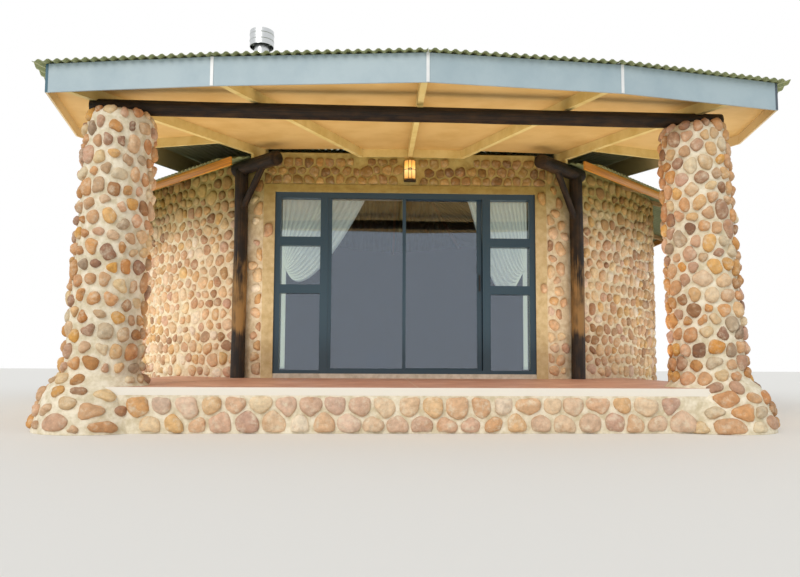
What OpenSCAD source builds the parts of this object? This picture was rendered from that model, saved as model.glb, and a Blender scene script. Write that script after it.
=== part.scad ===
// Rondavel hut: a round stone hut with an eight-sided iron roof and a covered terrace.
// The origin is the centre of the round wall on the lowest ground line, +Z is up
// and the sliding door faces -Y. Lengths are in millimetres.

/* [Hut wall] */
// Outer radius of the round wall
wall_r = 3965; // [3600:5:4400]
// Thickness of the stone walls
wall_t = 330; // [250:5:420]
// Top of the floor inside the hut above the ground
room_floor_z = 405; // [380:5:440]

/* [Sliding door] */
// Overall width of the aluminium door set
door_w = 3000; // [2700:10:3200]
// Overall height of the aluminium door set
door_h = 2082; // [1950:2:2150]
// Depth of the aluminium frame
frame_d = 100; // [90:2:140]
// How far the frame stands back from the wall face
frame_recess = 15; // [5:1:40]
// Width of the jamb, head and sill bars of the frame
frame_bar = 65; // [50:1:90]
// Clear width between the two mullions
slider_w = 1780; // [1500:10:1900]
// Width of each mullion beside the sliding door
mullion_w = 90; // [60:1:120]
// Height of each cross rail in the side lights
light_rail_h = 100; // [60:1:130]
// Middle of the lower cross rail above the threshold
low_rail_z = 963; // [800:1:1100]
// Middle of the upper cross rail above the threshold
high_rail_z = 1515; // [1400:1:1650]
// Thickness of a door panel
panel_t = 34; // [28:1:40]
// Width of the stiles where the two panels meet
meeting_stile = 38; // [30:1:60]
// Width of the outer stile of each panel
end_stile = 55; // [40:1:80]
// Height of the top and bottom rails of each panel
panel_rail = 45; // [40:1:90]
// Thickness of the glass
glass_t = 6; // [4:1:10]
// Free space round the sliding panel
slide_gap = 6; // [5:0.5:10]
// Width of the plaster band beside and above the frame
surround_w = 130; // [60:5:180]
// Height of the plaster band above the frame
surround_h = 85; // [40:5:150]
// Thickness of the plaster band
surround_t = 12; // [5:1:25]

/* [Terrace] */
// Terrace floor above the ground at the hut wall
terrace_z = 365; // [300:5:380]
// Fall of the terrace floor from the wall to its front edge
terrace_fall = 20; // [5:1:60]
// Least thickness of the terrace floor
terrace_t = 60; // [40:5:120]
// Thickness of the stone retaining walls round the terrace
plinth_t = 300; // [200:10:400]
// How far the front of the terrace stands before the pillar centres
terrace_front = 350; // [320:5:370]
// How far the sides of the terrace stand outside the pillar centres
terrace_side = 300; // [280:5:370]
// Radius of the flared foot of each pillar at the ground
pillar_foot_r = 480; // [480:5:520]

/* [Pillars and poles] */
// Place of the left pillar at the ground
left_pillar_xy = [-2510, -6000]; // [-7000:5:7000]
// Place of the right pillar at the ground
right_pillar_xy = [2455, -5880]; // [-7000:5:7000]
// How far the pillars lean toward each other in degrees
pillar_lean = 2.3; // [0:0.1:3]
// Radius of a pillar at its base
pillar_r = 284; // [270:2:310]
// Radius of a pillar below its rounded head
pillar_top_r = 256; // [240:2:300]
// Radius of the rounded shoulder of a pillar
pillar_shoulder = 105; // [30:5:130]
// Radius of the pole across the front
beam_r = 65; // [50:1:90]
// Depth of the notches that seat the veranda rafters on the pole
beam_notch = 25; // [5:1:35]
// How far the pole runs past each pillar centre
beam_end = 250; // [200:10:400]
// Radius of the two posts at the wall
post_r = 80; // [60:1:100]
// Half the distance between the two posts
post_x = 1950; // [1850:5:2050]
// How far the middle between the posts lies to the right of the middle line
post_shift = 55; // [-60:5:60]
// Space between a post and the round wall
post_gap = 12; // [2:1:40]
// How far the left and right bracket pole reach past their posts toward the door
bracket_reach = [660, 770]; // [450:10:800]
// How far a bracket pole runs past its post on the other side
bracket_tail = 110; // [85:5:180]
// Radius of the knee braces
brace_r = 38; // [30:1:60]
// Distance along the bracket pole from the post to the brace
brace_reach = 420; // [300:10:480]
// How far down the left and right post the brace starts below the bracket pole
brace_drop = [510, 590]; // [400:10:700]

/* [Veranda roof] */
// Lower left corner of the front fascia on plan
fascia_start = [-2900, -6300]; // [-7000:5:7000]
// Length of each of the four fascia facets
facet_len = [1335, 1630, 1520, 1420]; // [1000:5:2000]
// Direction of each fascia facet in degrees from +X
facet_dir = [-8, -5, 6, 12.5]; // [-15:0.5:15]
// Underside of the fascia above the ground
fascia_z = 2610; // [2500:5:2750]
// Depth of the fascia boards
fascia_h = 225; // [180:5:260]
// Thickness of the fascia boards
fascia_t = 15; // [10:1:25]
// Width of the cover strips over the joints of the fascia
cover_strip_w = 24; // [18:2:60]
// Slope of the veranda roof in degrees
veranda_pitch = 5.9; // [4.8:0.1:6.2]
// Width of the veranda rafters
rafter_w = 50; // [38:1:76]
// How far the rafters show below the ceiling
rafter_show = 92; // [50:1:100]
// Where each rafter meets the fascia, across the front
rafter_front_x = [-2730, -1500, 20, 1430, 2480]; // [-2800:5:2800]
// Where each rafter meets the hut wall
rafter_wall_x = [-1660, -520, 45, 650, 1800]; // [-1900:5:1900]
// How far the rafters run into the wall
rafter_bearing = 100; // [60:5:150]
// Thickness of the ceiling boards
ceiling_t = 9; // [6:1:16]
// Thickness of the trimmer boards
trimmer_t = 30; // [20:1:50]
// Widest corner of the roof on the left
left_corner = [-3320, -4720]; // [-7000:5:7000]
// Widest corner of the roof on the right
right_corner = [3290, -4870]; // [-7000:5:7000]
// Where the rear edge on the left would end over the hut
left_rear = [-2570, -950]; // [-7000:5:7000]
// Where the rear edge on the right would end over the hut
right_rear = [2525, -950]; // [-7000:5:7000]
// Distance from the middle of the side trimmers to the pillars
trimmer_back = 1590; // [1300:10:1800]

/* [Main roof] */
// How far the eaves stand outside the round wall
eave_out = 491; // [400:5:600]
// Underside of the pine eave boards above the ground
eave_z = 2575; // [2450:5:2700]
// Height of the pine eave boards
eave_board_h = 85; // [70:1:120]
// Thickness of the pine eave boards
eave_board_t = 22; // [16:1:32]
// Slope of the main roof in degrees
roof_pitch = 19.5; // [18:0.5:21]
// Depth of the roof rafters
roof_rafter_h = 55; // [50:1:76]
// Width of the roof rafters
roof_rafter_w = 50; // [38:1:76]
// Radius of the block under the peak that the roof rafters meet
peak_block_r = 160; // [150:5:250]
// Width of each wing of the hip caps
hip_wing = 110; // [80:5:180]
// Radius of the roll along the hip caps
hip_roll_r = 24; // [15:1:40]
// Radius of the round cap at the peak
peak_r = 300; // [290:10:500]
// Space between a front hip cap and the veranda sheets
hip_end_gap = 80; // [75:5:120]

/* [Roof sheets] */
// Pitch of the corrugations
corr_pitch = 76.2; // [60:0.1:100]
// Depth of the corrugations
corr_d = 17; // [12:1:25]
// Thickness of the roof sheets
sheet_t = 3; // [1:0.5:4]
// How far the sheets run past the boards
sheet_over = 45; // [20:1:80]
// How far the veranda sheets run past the boards at the sides
sheet_side_over = 90; // [20:5:120]

/* [Flue and lamp] */
// Place of the flue on plan
flue_xy = [-2090, -1250]; // [-2500:10:2500]
// Radius of the flue pipe
flue_r = 110; // [80:1:115]
// Height of the top of the flue pipe
flue_top_z = 5380; // [4800:10:5600]
// Radius of the cowl drum
cowl_r = 178; // [140:2:220]
// Height of the cowl drum
cowl_h = 245; // [200:5:350]
// How far the drum hangs down over the pipe
cowl_drop = 110; // [80:5:130]
// Radius of the lamp shade
lamp_r = 66; // [50:1:80]
// Space between the plaster band and the lamp
lamp_rise = 42; // [10:2:80]
// Space between the lamp and the rafter above it
lamp_room = 40; // [10:2:80]
// Sideways place of the lamp
lamp_x = 44; // [-300:1:300]

/* [Curtains] */
// Thickness of a gathered curtain
curtain_t = 40; // [20:1:60]
// Width of the left and right curtain at the rail
curtain_w = [960, 700]; // [600:10:1000]
// Drop of a curtain from the rail to the swag where it is held back
curtain_drop = 860; // [700:10:1000]
// Radius of the curtain rail
rail_r = 12; // [8:1:20]

/* [Hidden] */

$fn = 96;
// Facets for the large circles of the wall
wall_fn = 384;
// Clearance between neighbouring pieces
fit = 0.3;
// Length that is longer than any piece
far = 12000;

// Eight equal sides
sides = 8;
side_angle = 360 / sides;
half_angle = side_angle / 2;

// The flat front of the wall
half_flat = door_w / 2 + surround_w;
flat_y = -sqrt(wall_r * wall_r - half_flat * half_flat);
inner_flat_y = flat_y + wall_t;

// The main roof
eave_r = wall_r + eave_out;
sheet_z = eave_z + eave_board_h + fit;
half_eave = eave_r * tan(half_angle);
crest_h = corr_d + sheet_t;

// The hips of the main roof
hip_slope = atan(tan(roof_pitch) * cos(half_angle));
wing_drop = asin(sin(roof_pitch) * sin(half_angle));
cap_lift = (crest_h + fit) / cos(roof_pitch);
hip_end = (eave_r + sheet_over) / cos(half_angle) - 10;
peak_rim_z = roof_plane_z(peak_r * cos(half_angle)) + cap_lift + 2 * hip_roll_r + 8;

// Door heights and depths
threshold_z = terrace_z + 52;
frame_front_y = flat_y + frame_recess;
head_z = threshold_z + door_h;
fixed_y = frame_front_y + 8;
slide_y = fixed_y + panel_t + 9;
meet_x = -16;
light_in_x = slider_w / 2 + mullion_w;
light_out_x = door_w / 2 - frame_bar;

// Terrace corners
front_left = left_pillar_xy + [-terrace_side, -terrace_front];
front_right = right_pillar_xy + [terrace_side, -terrace_front];
rear_left = [front_left[0], -0.6 * wall_r];
rear_right = [front_right[0], -0.6 * wall_r];
fill_z = terrace_z - terrace_fall - terrace_t;

// Length of the packing pieces along the rafters
saddle_l = 90;

// The veranda rafters
rafter_h = fascia_h - 3 * fit;
rafter_count = len(rafter_front_x);
facet_count = len(facet_len);
stop_y = flat_y + wall_t / 2;
rafter_stop = 60;
sheet_stop = 30;
sheet_rear_y = flat_y + 850;

// The posts at the wall
bracket_z = min([for (s = [-1, 1]) each [
    roof_plane_z((s * post_at(s)[0] - post_at(s)[1]) / sqrt(2)) - (post_r + fit) / cos(roof_pitch),
    bracket_rest(s)[2] - post_r - fit
]]);

// Plan point of the post on side s, close to the round wall
function post_at(s) = let (x = s * post_x + post_shift) [x, -sqrt(pow(wall_r + post_gap + post_r, 2) - x * x)];

// Height of the underside of the main roof sheets at a distance from the middle
function roof_plane_z(d) = sheet_z + (eave_r - d) * tan(roof_pitch);

// Plan corner of the fascia with the given number
function fascia_corner(i) = i == 0 ? fascia_start
    : fascia_corner(i - 1) + facet_len[i - 1] * [cos(facet_dir[i - 1]), sin(facet_dir[i - 1])];

// Height of the rafter underside on a facet's plane above a plan point
function facet_z(i, p) = fascia_z
    + tan(veranda_pitch) * ((p - fascia_corner(i)) * [-sin(facet_dir[i]), cos(facet_dir[i])]);

// Facet that lies to the left and to the right of a rafter
function left_facet(i) = max(0, i - 1);
function right_facet(i) = min(facet_count - 1, i);

// Point of a facet's front line at a sideways place
function facet_point(i, x) = fascia_corner(i) + (x - fascia_corner(i)[0]) * [1, tan(facet_dir[i])];

// Facet whose front line a rafter meets
function front_facet(x) = x < fascia_corner(1)[0] ? 0 : x < fascia_corner(2)[0] ? 1
    : x < fascia_corner(3)[0] ? 2 : 3;

// Plan points at the two ends of a rafter
function rafter_front(i) = facet_point(front_facet(rafter_front_x[i]), rafter_front_x[i]);
function rafter_wall(i) = [rafter_wall_x[i], flat_y];
function rafter_dir(i) = (rafter_wall(i) - rafter_front(i)) / norm(rafter_wall(i) - rafter_front(i));
function on_rafter(i, y) = rafter_front(i)
    + (rafter_wall(i) - rafter_front(i)) * (y - rafter_front(i)[1]) / (flat_y - rafter_front(i)[1]);
function rafter_wall_z(i) = min(facet_z(left_facet(i), rafter_wall(i)), facet_z(right_facet(i), rafter_wall(i)));
function rafter_front_z(i) = min(facet_z(left_facet(i), rafter_front(i)), facet_z(right_facet(i), rafter_front(i)));
function rafter_run(i) = norm(rafter_wall(i) - rafter_front(i));
function rafter_slope(i) = (rafter_wall_z(i) - rafter_front_z(i)) / rafter_run(i);

// Point under an outer rafter where it crosses the bracket pole on side s
function outer_rafter(s) = s < 0 ? 0 : rafter_count - 1;
function bracket_rest(s) = let (
        i = outer_rafter(s), a = rafter_front(i), d = rafter_dir(i), q = post_at(s) - a, b = [-s, -1] / sqrt(2),
        t = (q[0] * b[1] - q[1] * b[0]) / (d[0] * b[1] - d[1] * b[0])
    ) [each (a + t * d), rafter_front_z(i) + rafter_slope(i) * t];

// The pole across the front, over the heads of the leaning pillars
lean_shift = [fascia_z * tan(pillar_lean), 0];
left_head = left_pillar_xy + lean_shift;
right_head = right_pillar_xy - lean_shift;
beam_dir = (right_head - left_head) / norm(right_head - left_head);
function beam_cross(i) = let (
        a = rafter_front(i), d = rafter_dir(i), q = left_head - a,
        s = (q[0] * beam_dir[1] - q[1] * beam_dir[0]) / (d[0] * beam_dir[1] - d[1] * beam_dir[0])
    ) s;
function rafter_z_at_beam(i) = rafter_front_z(i) + beam_cross(i) * rafter_slope(i);
beam_top_z = rafter_z_at_beam(0) + beam_notch;
beam_z = beam_top_z - beam_r;

// The side trimmers
left_trim_in = on_rafter(0, left_pillar_xy[1] + trimmer_back);
right_trim_in = on_rafter(rafter_count - 1, right_pillar_xy[1] + trimmer_back);
left_trim_out = edge_point(left_corner, left_rear, 0.185);
right_trim_out = edge_point(right_corner, right_rear, 0.25);
function edge_point(a, b, t) = a + (b - a) * t;

// Plan helpers

// Plan of the hut with its flat front
module hut_plan(grow) {
    intersection() {
        circle(r = wall_r + grow, $fn = wall_fn);
        translate([-far / 2, flat_y - grow]) square([far, far]);
    }
}

// Straight strip to the left of the line from a to b
module strip(a, b, width, before, after) {
    d = b - a;
    translate(a) rotate(atan2(d[1], d[0]))
        translate([-before, 0]) square([norm(d) + before + after, width]);
}

// Straight strip to the right of the line from a to b
module right_strip(a, b, width, before, after) {
    d = b - a;
    translate(a) rotate(atan2(d[1], d[0]))
        translate([-before, -width]) square([norm(d) + before + after, width]);
}

// Plan of a veranda rafter with extra width on each side
module rafter_plan(i, extra) {
    d = rafter_wall(i) - rafter_front(i);
    translate(rafter_front(i)) rotate(atan2(d[1], d[0]))
        translate([-200, -rafter_w / 2 - extra])
            square([norm(d) + 200 + rafter_bearing + extra, rafter_w + 2 * extra]);
}

// Corners of the fascia on plan, from the left rear round the front to the right rear
edge_line = [left_rear, left_corner, for (i = [0 : facet_count]) fascia_corner(i), right_corner, right_rear];

// Direction and inward normal of a stretch of that line, and the mitre at one of its corners
function edge_dir(k) = (edge_line[k + 1] - edge_line[k]) / norm(edge_line[k + 1] - edge_line[k]);
function edge_normal(k) = [-edge_dir(k)[1], edge_dir(k)[0]];
function mitre(k) = k == 0 ? edge_normal(0) : k == len(edge_line) - 1 ? edge_normal(k - 1)
    : (edge_normal(k - 1) + edge_normal(k)) / (1 + edge_normal(k - 1) * edge_normal(k));

// Plan of the room inside the fascia boards
module inside_fascia() {
    polygon([for (k = [0 : len(edge_line) - 1]) edge_line[k] + (fascia_t + fit) * mitre(k)]);
}

// Wedge of one side of the main roof on plan, out to distance d
module side_wedge(d) {
    polygon([[0, 0], [d * tan(half_angle), -d], [-d * tan(half_angle), -d]]);
}

// Region between the outer veranda rafters in front of the wall
module veranda_void(extra) {
    last = rafter_count - 1;
    polygon([
        on_rafter(0, fascia_start[1] - far / 4) - [rafter_w / 2 + extra, 0],
        on_rafter(0, stop_y) - [rafter_w / 2 + extra, 0],
        on_rafter(last, stop_y) + [rafter_w / 2 + extra, 0],
        on_rafter(last, fascia_start[1] - far / 4) + [rafter_w / 2 + extra, 0]
    ]);
}

// Roof helpers

// Places children on a side of the main roof, x along the eave and y up the slope
module on_side(side) {
    rotate(side * side_angle) translate([0, -eave_r, sheet_z]) rotate([roof_pitch, 0, 0]) children();
}

// Layer of one side of the main roof over the children's plan
module side_layer(side, low, high) {
    intersection() {
        on_side(side) translate([-far / 2, -far / 4, low]) cube([far, far, high - low]);
        rotate(side * side_angle) linear_extrude(far) children();
    }
}

// Places children on a facet of the veranda roof, x along the fascia and y up the slope
module on_facet(i) {
    translate([fascia_corner(i)[0], fascia_corner(i)[1], fascia_z])
        rotate(facet_dir[i]) rotate([veranda_pitch, 0, 0]) children();
}

// Layer of one facet of the veranda roof over the children's plan
module facet_layer(i, low, high) {
    intersection() {
        on_facet(i) translate([-far / 2, -far / 4, low]) cube([far, far, high - low]);
        linear_extrude(far) children();
    }
}

// Solid body of the main roof up to a height above the sheets' underside
module roof_body(above) {
    reach = eave_r + sheet_over;
    base_z = roof_plane_z(reach) + above;
    translate([0, 0, base_z]) rotate(half_angle)
        cylinder(h = reach * tan(roof_pitch), r1 = reach / cos(half_angle), r2 = 0, $fn = sides);
}

// Corrugated slab along +y: x from x0 to x1, lying on z = 0
module corrugated(x0, x1, y0, y1) {
    first = floor(x0 / corr_pitch);
    last = ceil(x1 / corr_pitch);
    wave = [[0, 0], [0.2, 0], [0.5, 1], [0.7, 1]];
    top = [for (k = [first : last - 1]) for (p = wave) [(k + p[0]) * corr_pitch, p[1] * corr_d + sheet_t]];
    low = [for (k = [last - 1 : -1 : first]) for (j = [3 : -1 : 0]) [(k + wave[j][0]) * corr_pitch, wave[j][1] * corr_d]];
    translate([0, y1, 0]) rotate([90, 0, 0]) linear_extrude(y1 - y0) polygon(concat(top, low));
}

// Round pole between two points
module pole(a, b, r) {
    d = b - a;
    flat = norm([d[0], d[1]]);
    translate(a) rotate([0, atan2(flat, d[2]), atan2(d[1], d[0])]) cylinder(h = norm(d), r = r);
}

// Hut

module hut_floor() color("burlywood")
    difference() {
        cylinder(h = room_floor_z, r = wall_r - wall_t - fit, $fn = wall_fn);
        translate([-far / 2, -far + inner_flat_y + fit, -1]) cube([far, far, room_floor_z + 2]);
    }

module door_threshold() color("gainsboro")
    translate([-door_w / 2 + fit, flat_y, 0]) cube([door_w - 2 * fit, wall_t, threshold_z - fit]);

// Angle of the fine joint between two sides of the wall
wall_joint = asin(fit / wall_r);

// One side of the round wall, up to the roof sheets and notched for what it carries
module wall_side(side, from, to) {
    difference() {
        rotate(side * side_angle + from - 90 + wall_joint / 2)
            rotate_extrude(angle = to - from - wall_joint, $fn = wall_fn)
                translate([wall_r - wall_t, 0]) square([wall_t, far / 2]);
        on_side(side) translate([-far / 2, -far / 4, -fit]) cube([far, far, far]);
        rotate(side * side_angle) {
            roof_rafter(side, false, fit);
            for (s = [-1, 1]) rotate(s * half_angle) roof_rafter(side, true, fit);
        }
    }
}

// A side wall next to the door: s is -1 on the left and 1 on the right
module front_side_wall(s) {
    difference() {
        wall_side(s > 0 ? 1 : sides - 1, s > 0 ? -half_angle - 4 : -half_angle, s > 0 ? half_angle : half_angle + 4);
        translate([-far / 2, flat_y - far, -1]) cube([far, far, far]);
        translate([-door_w / 2, -far, -1]) cube([door_w, far, far]);
        on_side(0) translate([-far / 2, -far / 4, -fit]) cube([far, far, far]);
        rafter_solid(s > 0 ? rafter_count - 1 : 0, fit);
        bracket(s, fit);
    }
}

module right_front_wall() color("tan") front_side_wall(1);
module right_wall() color("tan") wall_side(2, -half_angle, half_angle);
module right_back_wall() color("tan") wall_side(3, -half_angle, half_angle);
module back_wall() color("tan") wall_side(4, -half_angle, half_angle);
module left_back_wall() color("tan") wall_side(5, -half_angle, half_angle);
module left_wall() color("tan") wall_side(6, -half_angle, half_angle);
module left_front_wall() color("tan") front_side_wall(-1);

module door_head_wall() color("tan")
    difference() {
        translate([-door_w / 2 + fit, flat_y, head_z + fit]) cube([door_w - 2 * fit, wall_t, far / 4]);
        for (side = [-1 : 1])
            on_side(side) translate([-far / 2, -far / 4, -fit]) cube([far, far, far]);
        for (i = [1 : rafter_count - 2]) rafter_solid(i, fit);
        difference() {
            union() {
                roof_rafter(0, false, fit);
                for (s = [-1, 1]) rotate(s * half_angle) roof_rafter(0, true, fit);
            }
            linear_extrude(far) veranda_void(rafter_stop - fit);
        }
    }

module plaster_surround() color("wheat")
    translate([0, flat_y - fit, 0]) rotate([90, 0, 0]) linear_extrude(surround_t)
        difference() {
            translate([-half_flat, terrace_z + fit]) square([2 * half_flat, head_z + surround_h - terrace_z]);
            translate([-door_w / 2, 0]) square([door_w, head_z]);
        }

// Aluminium door set

// Width of the track that carries the sliding panel
track_w = 8;
// Height of the web of the head and sill channels that take the panels, and of the sill's lip
channel_web = 14;
sill_lip = 40;
panel_z = threshold_z + channel_web;
panel_h = door_h - 2 * channel_web;

// Bars of the frame round a slider opening that starts and ends at these heights
module frame_bars(low, high) {
    difference() {
        translate([-door_w / 2 + fit, threshold_z]) square([door_w - 2 * fit, door_h]);
        translate([-slider_w / 2, low]) square([slider_w, high - low]);
        for (s = [-1, 1]) light_panes(s, 0);
    }
}

// The three panes of a side light
module light_panes(s, inset) {
    x0 = min(s * light_in_x, s * light_out_x);
    edges = [sill_lip, low_rail_z - light_rail_h / 2, low_rail_z + light_rail_h / 2,
        high_rail_z - light_rail_h / 2, high_rail_z + light_rail_h / 2, door_h - frame_bar];
    for (k = [0 : 2])
        translate([x0 + inset, threshold_z + edges[2 * k] + inset])
            square([light_out_x - light_in_x - 2 * inset, edges[2 * k + 1] - edges[2 * k] - 2 * inset]);
}

// The frame: a thin front with lips over the channels, the channels behind, and the track
module door_frame() color("darkslategray") {
    lip_t = fixed_y - frame_front_y - fit;
    upright(frame_front_y, lip_t)
        frame_bars(threshold_z + sill_lip, threshold_z + door_h - frame_bar);
    upright(frame_front_y + lip_t, frame_d - lip_t)
        frame_bars(panel_z, panel_z + panel_h);
    translate([-slider_w / 2 - 1, slide_y + panel_t / 2 - track_w / 2, panel_z - 1])
        cube([slider_w + 2, track_w, 1 + slide_gap - fit]);
}

module side_glass(s) {
    translate([0, frame_front_y + frame_d / 2 + glass_t / 2, 0])
        rotate([90, 0, 0]) linear_extrude(glass_t) light_panes(s, fit);
}

module left_side_glass() color("lightsteelblue") side_glass(-1);
module right_side_glass() color("lightsteelblue") side_glass(1);

// A door panel between x0 and x1 with stiles of the given widths
module panel_frame(x0, x1, left_stile, right_stile, gap) {
    z0 = panel_z + gap;
    h = panel_h - 2 * gap;
    difference() {
        translate([x0, z0]) square([x1 - x0, h]);
        translate([x0 + left_stile, z0 + panel_rail]) square([x1 - x0 - left_stile - right_stile, h - 2 * panel_rail]);
    }
}

module panel_pane(x0, x1, left_stile, right_stile, gap) {
    z0 = panel_z + gap;
    h = panel_h - 2 * gap;
    translate([x0 + left_stile + fit, z0 + panel_rail + fit])
        square([x1 - x0 - left_stile - right_stile - 2 * fit, h - 2 * panel_rail - 2 * fit]);
}

fixed_x0 = -slider_w / 2 + fit;
fixed_x1 = meet_x + meeting_stile / 2;
slide_x0 = meet_x - meeting_stile / 2;
slide_x1 = slider_w / 2 - slide_gap;

module upright(y, t) translate([0, y + t, 0]) rotate([90, 0, 0]) linear_extrude(t) children();

module fixed_door_panel() color("darkslategray")
    upright(fixed_y, panel_t) panel_frame(fixed_x0, fixed_x1, end_stile - 14, meeting_stile, fit);
module fixed_door_glass() color("lightsteelblue")
    upright(fixed_y + (panel_t - glass_t) / 2, glass_t)
        panel_pane(fixed_x0, fixed_x1, end_stile - 14, meeting_stile, fit);
module sliding_door_panel() color("darkslategray")
    upright(slide_y, panel_t) panel_frame(slide_x0, slide_x1, meeting_stile, end_stile, slide_gap);
module sliding_door_glass() color("lightsteelblue")
    upright(slide_y + (panel_t - glass_t) / 2, glass_t)
        panel_pane(slide_x0, slide_x1, meeting_stile, end_stile, slide_gap);

// Pull handle on the outer stile: a bar on two short feet
handle_x = slide_x1 - end_stile / 2;
handle_z = threshold_z + 0.502 * door_h;
handle_h = 190;
handle_out = 26;
module sliding_door_handle() color("black") {
    translate([handle_x - 9, slide_y - fit - handle_out, handle_z - handle_h / 2]) cube([18, 10, handle_h]);
    for (z = [-0.38, 0.38])
        translate([handle_x - 9, slide_y - fit - handle_out, handle_z + z * handle_h - 10])
            cube([18, handle_out, 20]);
}

// Terrace

module terrace_plan() {
    difference() {
        polygon([front_left, front_right, rear_right, rear_left]);
        hut_plan(fit);
        front_corners();
    }
}

// Strip of the given width behind the front edge
module front_strip(width) {
    polygon([front_left, front_right, front_right + [0, width], front_left + [0, width]]);
}

// The two front corners of the terrace, whose place the feet of the pillars take
module front_corners() {
    translate(left_pillar_xy - [far / 8, far / 8]) square(far / 8);
    translate(right_pillar_xy - [0, far / 8]) square(far / 8);
}

// Both pillars with a clearance all round, to cut what stands against them
module pillar_room() {
    pillar(left_pillar_xy, pillar_lean, fit);
    pillar(right_pillar_xy, -pillar_lean, fit);
}

module front_plinth() color("rosybrown")
    difference() {
        linear_extrude(fill_z) difference() {
            front_strip(plinth_t);
            front_corners();
        }
        pillar_room();
    }

module side_plinths() color("rosybrown")
    difference() {
        linear_extrude(fill_z) difference() {
            for (p = [front_left, front_right - [plinth_t, 0]])
                translate(p + [0, plinth_t / 2]) square([plinth_t, rear_left[1] - p[1] - plinth_t / 2]);
            front_strip(plinth_t + fit);
            front_corners();
            hut_plan(fit);
        }
        pillar_room();
    }

module terrace_fill() color("peru")
    difference() {
        linear_extrude(fill_z) difference() {
            terrace_plan();
            front_strip(plinth_t + fit);
            for (x = [front_left[0] - fit, front_right[0] - plinth_t - fit])
                translate([x, front_left[1]]) square([plinth_t + 2 * fit, rear_left[1] - front_left[1] + fit]);
        }
        pillar_room();
    }

module terrace_floor() color("indianred")
    difference() {
        translate([0, 0, fill_z + fit]) linear_extrude(terrace_t + 2 * terrace_fall) terrace_plan();
        translate([-far / 2, flat_y, terrace_z])
            rotate([atan(terrace_fall / (flat_y - front_left[1])), 0, 0])
                translate([0, -far, 0]) cube([far, 2 * far, far]);
        pillar_room();
        for (s = [-1, 1])
            translate(post_at(s)) cylinder(h = far, r = post_r + fit);
    }

// Pillars and poles

// A leaning pillar from its flared foot to its rounded head, cut level at both ends
module pillar(p, lean, extra) {
    top = beam_z - beam_r - fit;
    below = pillar_foot_r * tan(pillar_lean) + 5;
    translate([p[0], p[1], 0]) intersection() {
        rotate([0, lean, 0]) rotate_extrude() polygon(concat(
            [[0, -below], [pillar_foot_r + extra, -below], [pillar_foot_r + extra, 0],
                [pillar_foot_r - 30 + extra, 0.4 * terrace_z], [pillar_foot_r - 60 + extra, 0.74 * terrace_z],
                [pillar_foot_r - 105 + extra, 0.95 * terrace_z], [pillar_r + 40 + extra, 1.07 * terrace_z],
                [pillar_r + 10 + extra, 1.2 * terrace_z], [pillar_r + extra, 1.5 * terrace_z]],
            [for (a = [0 : 15 : 90]) [
                pillar_top_r + extra - pillar_shoulder * (1 - cos(a)),
                top + below / 2 - pillar_shoulder * (1 - sin(a))
            ]],
            [[0, top + below / 2]]
        ));
        translate([-far / 2, -far / 2, 0]) cube([far, far, top]);
    }
}

module left_pillar() color("sandybrown") pillar(left_pillar_xy, pillar_lean, 0);
module right_pillar() color("sandybrown") pillar(right_pillar_xy, -pillar_lean, 0);

beam_a = [each (left_head - beam_end * beam_dir), beam_z];
beam_b = [each (right_head + beam_end * beam_dir), beam_z];

module front_beam() color("black") pole(beam_a, beam_b, beam_r);

// Timber packing between the poles and the rafters above them
module beam_saddles() color("dimgray") {
    for (s = [-1, 1])
        if (bracket_rest(s)[2] > bracket_z + post_r + 2)
            difference() {
                intersection() {
                    linear_extrude(far) intersection() {
                        rafter_plan(outer_rafter(s), 0);
                        translate([bracket_rest(s)[0], bracket_rest(s)[1]]) rotate(45) square(saddle_l, center = true);
                    }
                    rafter_slab(outer_rafter(s), -post_r, -fit);
                }
                bracket(s, fit);
            }
    for (i = [0 : rafter_count - 1])
        if (rafter_z_at_beam(i) > beam_top_z + 2)
            difference() {
                intersection() {
                    linear_extrude(far) intersection() {
                        rafter_plan(i, 0);
                        strip(left_head - [0, saddle_l / 2], right_head - [0, saddle_l / 2], saddle_l, 0, 0);
                    }
                    rafter_slab(i, -beam_r, -fit);
                }
                pole(beam_a, beam_b, beam_r + fit);
            }
}

module wall_posts() color("saddlebrown")
    for (s = [-1, 1])
        difference() {
            translate([each post_at(s), fill_z + fit]) cylinder(h = bracket_z - fill_z, r = post_r);
            bracket(s, fit);
        }

// A bracket pole on a post, running at 45 degrees toward the door, grown by a clearance
module bracket(s, extra) {
    outward = [s, 1] / sqrt(2);
    pole([each (post_at(s) + (bracket_tail + extra) * outward), bracket_z],
        [each (post_at(s) - (of_side(bracket_reach, s) + extra) * outward), bracket_z], post_r + extra);
}

// Value of a left and right pair on side s
function of_side(pair, s) = s < 0 ? pair[0] : pair[1];

module bracket_poles() color("black") for (s = [-1, 1]) bracket(s, 0);

module knee_braces() color("black")
    for (s = [-1, 1])
        difference() {
            pole([each post_at(s), bracket_z - of_side(brace_drop, s)],
                [each (post_at(s) - brace_reach * [s, 1] / sqrt(2)), bracket_z], brace_r);
            bracket(s, fit);
            translate(post_at(s)) cylinder(h = far, r = post_r + fit);
        }

// Veranda roof

// Slab between two heights above the underside line of a rafter
module rafter_slab(i, low, high) {
    d = rafter_wall(i) - rafter_front(i);
    translate([rafter_front(i)[0], rafter_front(i)[1], rafter_front_z(i)])
        rotate(atan2(d[1], d[0])) rotate([0, -atan(rafter_slope(i)), 0])
            translate([-far / 8, -far / 8, low]) cube([far, far / 4, high - low]);
}

module rafter_solid(i, extra) {
    intersection() {
        rafter_slab(i, -extra, rafter_h + extra);
        linear_extrude(far) rafter_plan(i, extra);
    }
}

module veranda_rafters() color("wheat")
    for (i = [0 : rafter_count - 1])
        difference() {
            intersection() {
                rafter_slab(i, 0, rafter_h);
                linear_extrude(far) intersection() {
                    rafter_plan(i, 0);
                    inside_fascia();
                }
            }
            pole(beam_a, beam_b, beam_r + fit);
        }

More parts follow.
